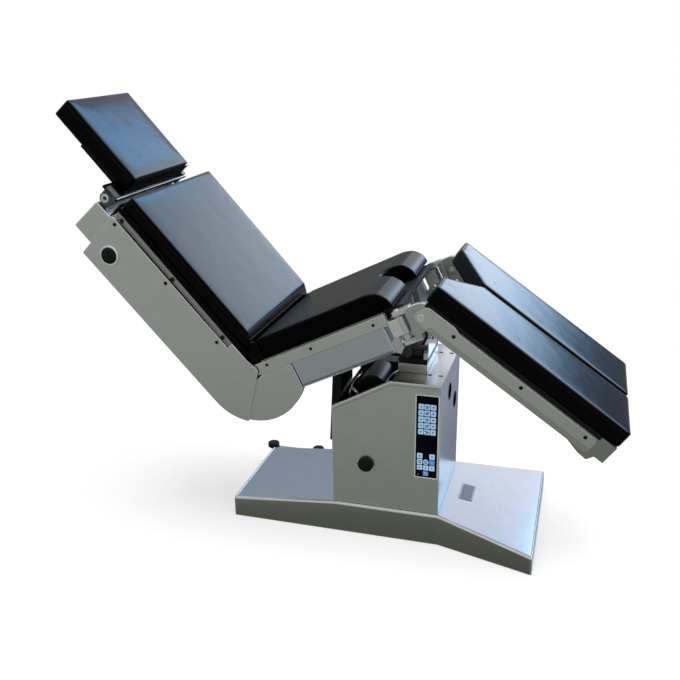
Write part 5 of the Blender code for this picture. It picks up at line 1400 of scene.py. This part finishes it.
class TABLE_OT_hinges(bpy.types.Operator):
    """Machine the leg hinges, the headrest hinge and the tilt head"""
    bl_idname = "table.hinges"
    bl_label = "Hinges"

    def execute(self, context):
        for name, s in SIDES:
            self.leg_hinge(name, s)
        self.headrest()
        self.tilt_head()
        return {"FINISHED"}

    def leg_hinge(self, name, s):
        """Hip block, knuckle, bushes and pin that carry a leg section."""
        inner, foot = 0.4855, 0.5030
        c_frame = rounded([(0.452, 0.0092), (0.452, -0.0043), (inner, -0.0043), (inner, -0.0755),
                           (0.449, -0.0755), (0.449, -0.089), (foot, -0.089), (foot, 0.0092)],
                          [0.001, 0.001, 0.002, 0.002, 0.001, 0.001, 0.002, 0.002], 3)
        knee, r = (0.523, -0.0307), 0.0385
        knuckle = np.vstack(([(foot - 0.002, 0.0072)], arc(knee, r, 79.9, -80.0, 32),
                             [(foot - 0.002, -0.0720)]))[::-1]
        parts = [side_on(plate(c_frame, 0.2320, 0.2620, 0.0012), s),
                 side_on(plate(knuckle, 0.2462, 0.2618, 0.0014), s)]
        pin = lathe([(0.0, 0.2374), (0.008, 0.2374), (0.008, 0.2692), (0.0070, 0.2698), (0.0, 0.2698)], 32)
        parts.append(side_on(moved(pin, (*knee, 0.0)), s))
        piece(f"knee_knuckle_{name}", joined(*parts), "seat", "cast", f"hip_{name}",
              (f"leg_clevis_{name}",))
        y0, y1 = sorted((s * 0.232, s * 0.266))
        plan = np.vstack(([(0.4323, y0)], arc((0.462, s * 0.249), 0.017, -90.0, 90.0, 24), [(0.4323, y1)]))
        block = plate([plan, circle((0.462, s * 0.249), 0.0073, 24)], -0.057, -0.009, 0.0012)
        gusset = rounded([(0.4176, -0.070), (0.4176, -0.0965), (0.4290, -0.1050), (0.4440, -0.0900),
                          (0.4440, -0.053), (0.4340, -0.053)], 0.003, 3)
        web = side_on(plate(gusset, 0.252, 0.262, 0.0010), s)
        piece(f"hinge_block_{name}", joined(flat_on(block), web), "seat", "cast_light", "seat",
              (f"leg_block_{name}",))
        rings = []
        for low, high in ((-0.0087, -0.0046), (-0.0752, -0.0573)):
            ring = [(0.0, low), (0.0105, low), (0.0115, low + 0.001), (0.0115, high - 0.001),
                    (0.0105, high), (0.0, high)]
            rings.append(moved(lathe(ring, 32), (0.462, s * 0.249, 0.0)))
        head = moved(screw(0.0085, 0.0030), (0.462, s * 0.249, 0.0090))
        piece(f"hip_bush_{name}", joined(*rings, head), "seat", "cast", f"hip_{name}",
              (f"hip_pin_{name}",))

    def headrest(self):
        """Bracket and hinge of the headrest, with the plates between it and the back section, the bracket and
        plates in painted shade.
        """
        pivot, low, top, bar = (-0.646, -0.020), -0.0020, 0.0037, 0.2223
        plan = rounded([(-0.815, -0.165), (-0.676, -0.165), (-0.676, -bar), (-0.630, -bar), (-0.630, bar),
                        (-0.676, bar), (-0.676, 0.165), (-0.815, 0.165)], 0.004, 3)
        parts = []
        block = np.vstack(([(-0.664, 0.0108)], [(-0.664, -0.016)], arc(pivot, 0.0178, 160.0, 290.0, 20),
                           [(-0.6235, -0.0360), (-0.6255, 0.0108)]))
        bosses = []
        for _, s in SIDES:
            parts.append(side_on(plate([block, circle(pivot, 0.0083, 24)], 0.2003, bar, 0.0014), s))
            boss = lathe([(0.0, 0.2150), (0.0130, 0.2150), (0.0130, 0.2238), (0.0118, 0.2250),
                          (0.0070, 0.2250), (0.0062, 0.2242), (0.0052, 0.2190), (0.0, 0.2190)], 36)
            bosses.append(side_on(moved(boss, (*pivot, 0.0)), s))
        bracket = flat_on(plate(plan, low, top, 0.0010))
        piece("head_bracket", bracket, "back", "painted_shade_black", "head", ("head_frame",))
        piece("head_hinge_blocks", joined(*parts), "back", "cast_dark", "head")
        piece("head_bosses", joined(*bosses), "back", "cast_light", "back", ("head_shaft",), 30.0)
        flap = plate(rectangle((-0.1735, 0.1735), (0.0040, 0.0615), 0.004), -0.6292, -0.6280, 0.0005)
        piece("head_pad_flap", end_on(flap), "back", "painted_shade_black", "head")
        flange = plate(rectangle((-0.2215, 0.2215), (-0.0030, 0.0085), 0.001), -0.6215, -0.6180, 0.0006)
        piece("head_flange", end_on(flange), "back", "painted_shade_black", "head")
        # A black plate painted as the shade at the back's head end.
        cover = plate(rectangle((-0.2215, 0.2215), (-0.0440, 0.0070), 0.001), -0.6030, -0.6012, 0.0005)
        piece("back_end_painted_shade", end_on(cover), "back", "painted_shade_black", "back")
        rod = tube([(-0.6196, -0.2215, 0.0090), (-0.6196, 0.2215, 0.0090)], 0.0021, 12)
        piece("head_flange_edge", rod, "back", "edge", "head")
        socket = lathe([(0.0, 0.2180), (0.0052, 0.2180), (0.0052, 0.2200), (0.0, 0.2200)], 24)
        sockets = [side_on(moved(socket, (*pivot, 0.0)), s) for _, s in SIDES]
        piece("head_sockets", joined(*sockets), "back", "dark", "back")

    def tilt_head(self):
        """Plate, lugs, castings and pins on top of the lifting column."""
        low, high, z = 0.5396, 0.5546, 0.600
        base = plate(rectangle((-0.0425, 0.0425), (-0.090, 0.090), 0.003), low, high, 0.0010)
        narrow = np.vstack(([(-0.026, high - 0.002), (0.026, high - 0.002)],
                            arc((0, z), 0.026, 0.0, 180.0, 28)))
        head_lug = end_on(plate([narrow, circle((0, z), 0.0123, 32)], -0.0425, -0.0305, 0.0012))
        piece("head_plate", joined(flat_on(base), head_lug), "world", "screw", "lift",
              ("lift_head",))
        boss = lathe([(0.0, 0.0500), (0.0160, 0.0500), (0.0160, 0.0860), (0.0150, 0.0875), (0.0105, 0.0880),
                      (0.0095, 0.0868), (0.0, 0.0868)], 36)
        stop = lathe([(0.0, 0.0), (0.0078, 0.0), (0.0078, 0.030), (0.0066, 0.033), (0.0, 0.033)], 24)
        stop = (np.column_stack((stop[0][:, 2] + 0.0080, stop[0][:, 1] - 0.0720, stop[0][:, 0] + 0.5850)),
                stop[1])
        foot = [(-0.036, high - 0.001), (0.028, high - 0.001), (0.018, high + 0.026), (-0.010, high + 0.030)]
        foot = plate(foot, 0.0500, 0.0700, 0.0030)
        block = rectangle((0.0315, 0.0415), (high - 0.001, high + 0.018), 0.0015)
        block = plate(block, 0.0780, 0.0890, 0.0012)
        boss = side_on(moved(boss, (-0.0180, 0.5700, 0.0)), -1.0)
        castings = joined(boss, side_on(foot, -1.0), stop)
        piece("tilt_castings", castings, "world", "cast_black", "lift")
        piece("tilt_block", side_on(block, -1.0), "world", "cast_light", "lift")
        rise = math.degrees(math.asin(-0.002 / 0.026))
        wide = np.vstack(([(-0.072, high - 0.002), (0.072, high - 0.002), (0.072, 0.598)],
                          arc((0, z), 0.026, rise, 180.0 - rise, 28), [(-0.072, 0.598)]))
        lug = end_on(plate([wide, circle((0, z), 0.0123, 32)], 0.0305, 0.0425, 0.0012))
        piece("foot_lug", lug, "world", "steel_lug", "lift")
        ends = []
        for low, high in ((-0.0445, -0.0300), (0.0300, 0.0445)):
            ends.append(end_on(lathe([(0.0, low), (0.0112, low), (0.0120, low + 0.0008),
                                      (0.0120, high - 0.0008), (0.0112, high), (0.0, high)], 32)))
        pins = moved(joined(*ends), (0.0, 0.0, z))
        piece("tilt_pins", pins, "world", "dark", "cross")


class TABLE_OT_pipes(bpy.types.Operator):
    """Lay the pipes and the motor caps in the open top of the column"""
    bl_idname = "table.pipes"
    bl_label = "Pipes"

    def execute(self, context):
        motor = [
            (0.0, -0.0895), (0.0120, -0.0895), (0.0130, -0.0885), (0.0200, -0.0880),
            (0.0205, -0.0720), (0.0430, -0.0710), (0.0462, -0.0680), (0.0462, -0.0600),
            (0.0452, -0.0590), (0.0452, -0.0500), (0.0462, -0.0490), (0.0462, 0.0480),
            (0.0452, 0.0490), (0.0452, 0.0570), (0.0430, 0.0610), (0.0, 0.0610),
        ]
        points, faces = lathe(motor, 64)
        points = np.column_stack((points[:, 0] - 0.126, points[:, 2], points[:, 1] + 0.436))
        piece("pump_motor", (points, faces), "world", "plastic", "base", (), 30.0)
        runs = {
            "pipe_front": (
                (-0.172, -0.080, 0.345), (-0.172, -0.082, 0.400), (-0.182, -0.095, 0.440),
                (-0.178, -0.108, 0.452), (-0.160, -0.116, 0.440), (-0.150, -0.110, 0.400),
                (-0.140, -0.080, 0.345),
            ),
            "pipe_middle": (
                (-0.196, -0.060, 0.310), (-0.200, -0.062, 0.380), (-0.196, -0.050, 0.432),
                (-0.186, -0.020, 0.448), (-0.182, 0.020, 0.446), (-0.184, 0.070, 0.440),
            ),
            "pipe_rear": (
                (-0.060, -0.060, 0.310), (-0.058, -0.075, 0.380), (-0.064, -0.090, 0.440),
                (-0.075, -0.100, 0.470), (-0.068, -0.085, 0.488), (-0.058, -0.040, 0.488),
                (-0.056, 0.030, 0.470), (-0.066, 0.070, 0.440),
            ),
        }
        for name, route in runs.items():
            piece(name, tube(smooth_path(route, 8), size("pipe"), 16), "world", "pipe", "base")
        nut = lathe([(0.0, 0.0), (0.0085, 0.0), (0.0085, 0.012), (0.0060, 0.015), (0.0, 0.015)], 6)
        nuts = [moved(nut, place) for place in ((-0.172, -0.080, 0.340), (-0.140, -0.080, 0.340))]
        piece("pipe_nuts", joined(*nuts), "world", "edge", "base", (), 20.0)
        return {"FINISHED"}


class TABLE_OT_stage(bpy.types.Operator):
    """Set up the floor, the studio light and the camera"""
    bl_idname = "table.stage"
    bl_label = "Stage"

    def execute(self, context):
        scene = context.scene
        self.camera(scene)
        self.floor()
        self.lights(scene)
        self.world(scene)
        scene.view_settings.view_transform = "Standard"
        scene.view_settings.look = "None"
        return {"FINISHED"}

    def camera(self, scene):
        """Camera at the place and angle from which the table was photographed."""
        data = bpy.data.cameras.new("camera")
        data.sensor_width = 36.0
        data.lens = studio("lens")
        made = bpy.data.objects.new("camera", data)
        right = Vector((0.9599, 0.2801, -0.0124)).normalized()
        ahead = Vector((-0.2674, 0.9015, -0.3402)).normalized()
        up = right.cross(ahead).normalized()
        right = ahead.cross(up).normalized()
        turn = Matrix((right, up, -ahead)).transposed()
        made.matrix_world = Matrix.Translation((0.4466, -2.334, 1.440)) @ turn.to_4x4()
        scene.collection.objects.link(made)
        scene.camera = made

    def floor(self):
        """Pale floor that fades out round the table and keeps its shadow."""
        half = 14.0
        points = [(-half, -half, 0.0), (half, -half, 0.0), (half, half, 0.0), (-half, half, 0.0)]
        made = mesh_object("floor", points, [[0, 1, 2, 3]])
        material, net, shader = blank("floor")
        shader.inputs["Base Color"].default_value = (0.40, 0.39, 0.39, 1.0)
        shader.inputs["Emission Color"].default_value = (1.0, 1.0, 1.0, 1.0)
        shader.inputs["Emission Strength"].default_value = 0.56
        shader.inputs["Roughness"].default_value = 0.9
        shader.inputs["Specular IOR Level"].default_value = 0.0
        coords = net.node("ShaderNodeTexCoord").outputs["Object"]
        away = net.node("ShaderNodeVectorMath", operation="LENGTH")
        net.wire(coords, away.inputs[0])
        fade = net.node("ShaderNodeMapRange", interpolation_type="SMOOTHSTEP")
        net.wire(away.outputs["Value"], fade.inputs["Value"])
        fade.inputs["From Min"].default_value = 0.7
        fade.inputs["From Max"].default_value = 1.5
        fade.inputs["To Min"].default_value = 1.0
        fade.inputs["To Max"].default_value = 0.0
        net.wire(fade.outputs[0], shader.inputs["Alpha"])
        made.data.materials.append(material)
        made.visible_glossy = False

    def lights(self, scene):
        """Two large soft panels."""
        for name, place, aim, wide, power, tint in (
            ("sky panel", (0.7, 0.3, 4.2), (0.0, 0.0, 0.0), 5.0, studio("sky_power"), (1.0, 1.0, 1.0)),
            ("front panel", (-0.6, -4.2, 2.6), (0.0, 0.0, 0.6), 3.0, studio("front_power"),
             (1.0, 0.99, 0.97)),
        ):
            data = bpy.data.lights.new(name, "AREA")
            data.shape = "SQUARE"
            data.size = wide
            data.energy = power
            data.color = tint
            made = bpy.data.objects.new(name, data)
            made.location = place
            made.rotation_euler = (Vector(aim) - Vector(place)).to_track_quat("-Z", "Y").to_euler()
            made.visible_camera = False
            made.visible_glossy = False
            scene.collection.objects.link(made)

    def shares(self, power, stops):
        """Stops of a ramp from rows (height, red, green, blue) of the room's brightness."""
        return [(place, tuple(c / power for c in light)) for place, *light in stops]

    def step(self, net, value, low, high):
        """Smooth step of a coordinate from 0 at low to 1 at high."""
        made = net.node("ShaderNodeMapRange", interpolation_type="SMOOTHSTEP")
        net.wire(value, made.inputs["Value"])
        made.inputs["From Min"].default_value = low
        made.inputs["From Max"].default_value = high
        return made.outputs[0]

    def world(self, scene):
        """Room that the metal and the leather reflect: one ramp over the height for each side of the room."""
        world = bpy.data.worlds.new("studio")
        world.use_nodes = True
        scene.world = world
        tree = world.node_tree
        tree.nodes.clear()
        net = Net(tree)
        ray = net.node("ShaderNodeTexCoord").outputs["Generated"]
        split = net.node("ShaderNodeSeparateXYZ")
        net.wire(ray, split.inputs[0])
        x, y, z = split.outputs
        height = net.math("MULTIPLY_ADD", z, 0.5, 0.5)
        power = studio("room_power")
        right = net.ramp(height, self.shares(power, (
            (0.00, 1.10, 1.25, 1.50), (0.235, 0.80, 0.95, 1.20), (0.252, 0.50, 0.60, 0.75),
            (0.275, 0.45, 0.50, 0.60), (0.44, 0.30, 0.30, 0.31), (0.540, 0.20, 0.25, 0.35),
            (0.560, 1.10, 1.60, 2.20), (0.575, 2.60, 3.30, 4.10), (0.60, 3.20, 3.90, 4.80),
            (0.66, 3.20, 3.85, 4.70), (0.705, 2.50, 3.30, 4.20), (0.735, 2.10, 4.10, 7.00),
            (0.78, 2.00, 4.00, 7.20), (1.0, 0.90, 0.90, 0.92),
        )))
        over = net.math("MAXIMUM", net.math("SUBTRACT", x, 0.22), 0.0)
        lowered = net.math("SUBTRACT", height, net.math("MULTIPLY", over, 0.27))
        side = net.ramp(lowered, self.shares(power, (
            (0.00, 1.10, 1.25, 1.50), (0.235, 0.80, 0.95, 1.20), (0.275, 0.50, 0.58, 0.70),
            (0.44, 0.25, 0.26, 0.28), (0.498, 0.15, 0.19, 0.23), (0.512, 0.14, 0.20, 0.30),
            (0.528, 0.18, 0.34, 0.54), (0.548, 0.80, 1.30, 1.95), (0.569, 1.90, 2.75, 3.90),
            (0.590, 3.10, 3.90, 4.90), (0.61, 3.20, 3.95, 4.80), (0.66, 3.20, 3.80, 4.50),
            (0.70, 2.70, 3.45, 4.15), (0.73, 2.10, 2.90, 3.80), (0.80, 1.80, 2.40, 3.20),
            (1.0, 0.90, 0.90, 0.92),
        )))
        middle = net.ramp(height, self.shares(power, (
            (0.00, 1.10, 1.25, 1.50), (0.235, 0.42, 0.58, 0.84), (0.252, 0.27, 0.40, 0.58),
            (0.2715, 0.25, 0.32, 0.41), (0.298, 0.42, 0.46, 0.51), (0.32, 0.46, 0.49, 0.55),
            (0.44, 0.30, 0.30, 0.31), (0.55, 0.30, 0.31, 0.33), (0.66, 1.60, 1.60, 1.66),
            (0.70, 1.10, 1.04, 1.06), (0.735, 1.16, 1.26, 1.46), (0.765, 0.88, 1.00, 1.26),
            (0.90, 0.90, 1.00, 1.20), (1.0, 0.90, 0.90, 0.92),
        )))
        left = net.ramp(height, self.shares(power, (
            (0.00, 0.04, 0.04, 0.04), (0.34, 0.04, 0.04, 0.04), (0.44, 0.16, 0.16, 0.15),
            (0.47, 0.17, 0.17, 0.15), (0.50, 0.24, 0.25, 0.22), (0.60, 0.28, 0.31, 0.34),
            (0.70, 0.36, 0.44, 0.57), (0.80, 0.50, 0.56, 0.66), (1.0, 0.90, 0.90, 0.92),
        )))
        back = net.mix(self.step(net, x, -0.21, -0.12), left, middle)
        back = net.mix(self.step(net, x, 0.128, 0.154), back, right)
        back = net.mix(self.step(net, x, 0.200, 0.232), back, side)
        front = net.ramp(height, self.shares(power, (
            (0.00, 0.09, 0.09, 0.07), (0.20, 0.11, 0.12, 0.095), (0.237, 0.138, 0.149, 0.123),
            (0.246, 0.158, 0.174, 0.146), (0.255, 0.202, 0.225, 0.190), (0.272, 0.278, 0.312, 0.278),
            (0.298, 0.405, 0.430, 0.405), (0.33, 0.46, 0.48, 0.465), (0.38, 0.44, 0.46, 0.45),
            (0.50, 0.38, 0.38, 0.37), (1.0, 0.90, 0.90, 0.92),
        )))
        room = net.mix(self.step(net, y, -0.2, 0.2), front, back)
        shiny = net.node("ShaderNodeBackground")
        net.wire(room, shiny.inputs[0])
        shiny.inputs[1].default_value = power
        soft = net.node("ShaderNodeBackground")
        soft.inputs[0].default_value = (1.0, 1.0, 1.0, 1.0)
        soft.inputs[1].default_value = 0.55
        white = net.node("ShaderNodeBackground")
        white.inputs[0].default_value = (1.0, 1.0, 1.0, 1.0)
        white.inputs[1].default_value = 1.0
        path = net.node("ShaderNodeLightPath")
        first = net.node("ShaderNodeMixShader")
        net.wire(path.outputs["Is Glossy Ray"], first.inputs[0])
        net.wire(soft.outputs[0], first.inputs[1])
        net.wire(shiny.outputs[0], first.inputs[2])
        second = net.node("ShaderNodeMixShader")
        net.wire(path.outputs["Is Camera Ray"], second.inputs[0])
        net.wire(first.outputs[0], second.inputs[1])
        net.wire(white.outputs[0], second.inputs[2])
        world.cycles.sampling_method = "NONE"
        out = net.node("ShaderNodeOutputWorld")
        net.wire(second.outputs[0], out.inputs[0])


STEPS = (TABLE_OT_materials, TABLE_OT_cushions, TABLE_OT_side_covers, TABLE_OT_rails, TABLE_OT_boxes,
         TABLE_OT_base, TABLE_OT_column, TABLE_OT_keypad, TABLE_OT_knobs, TABLE_OT_hinges, TABLE_OT_pipes,
         TABLE_OT_stage)


GROUPS = {"table_sizes": TABLE_PG_sizes, "table_colours": TABLE_PG_colours, "table_studio": TABLE_PG_studio}


class TABLE_PT_panel(bpy.types.Panel):
    """Buttons that build the table's looks step by step"""
    bl_idname = "TABLE_PT_panel"
    bl_label = "Operating table"
    bl_space_type = "VIEW_3D"
    bl_region_type = "UI"
    bl_category = "Table"

    def draw(self, context):
        """List the settings and then the steps."""
        for name in GROUPS:
            group = getattr(context.scene, name)
            for key in group.bl_rna.properties.keys():
                if key not in ("rna_type", "name"):
                    self.layout.prop(group, key)
        for step in STEPS:
            self.layout.operator(step.bl_idname)


def register():
    """Register the settings, the steps and the panel."""
    for name, group in GROUPS.items():
        bpy.utils.register_class(group)
        setattr(bpy.types.Scene, name, bpy.props.PointerProperty(type=group))
    for step in STEPS:
        bpy.utils.register_class(step)
    bpy.utils.register_class(TABLE_PT_panel)


def unregister():
    """Remove the panel, the steps and the settings."""
    bpy.utils.unregister_class(TABLE_PT_panel)
    for step in reversed(STEPS):
        bpy.utils.unregister_class(step)
    for name, group in GROUPS.items():
        delattr(bpy.types.Scene, name)
        bpy.utils.unregister_class(group)


def main():
    """Build the looks step by step."""
    register()
    for step in STEPS:
        group, name = step.bl_idname.split(".")
        getattr(getattr(bpy.ops, group), name)()


if __name__ == "__main__":
    main()
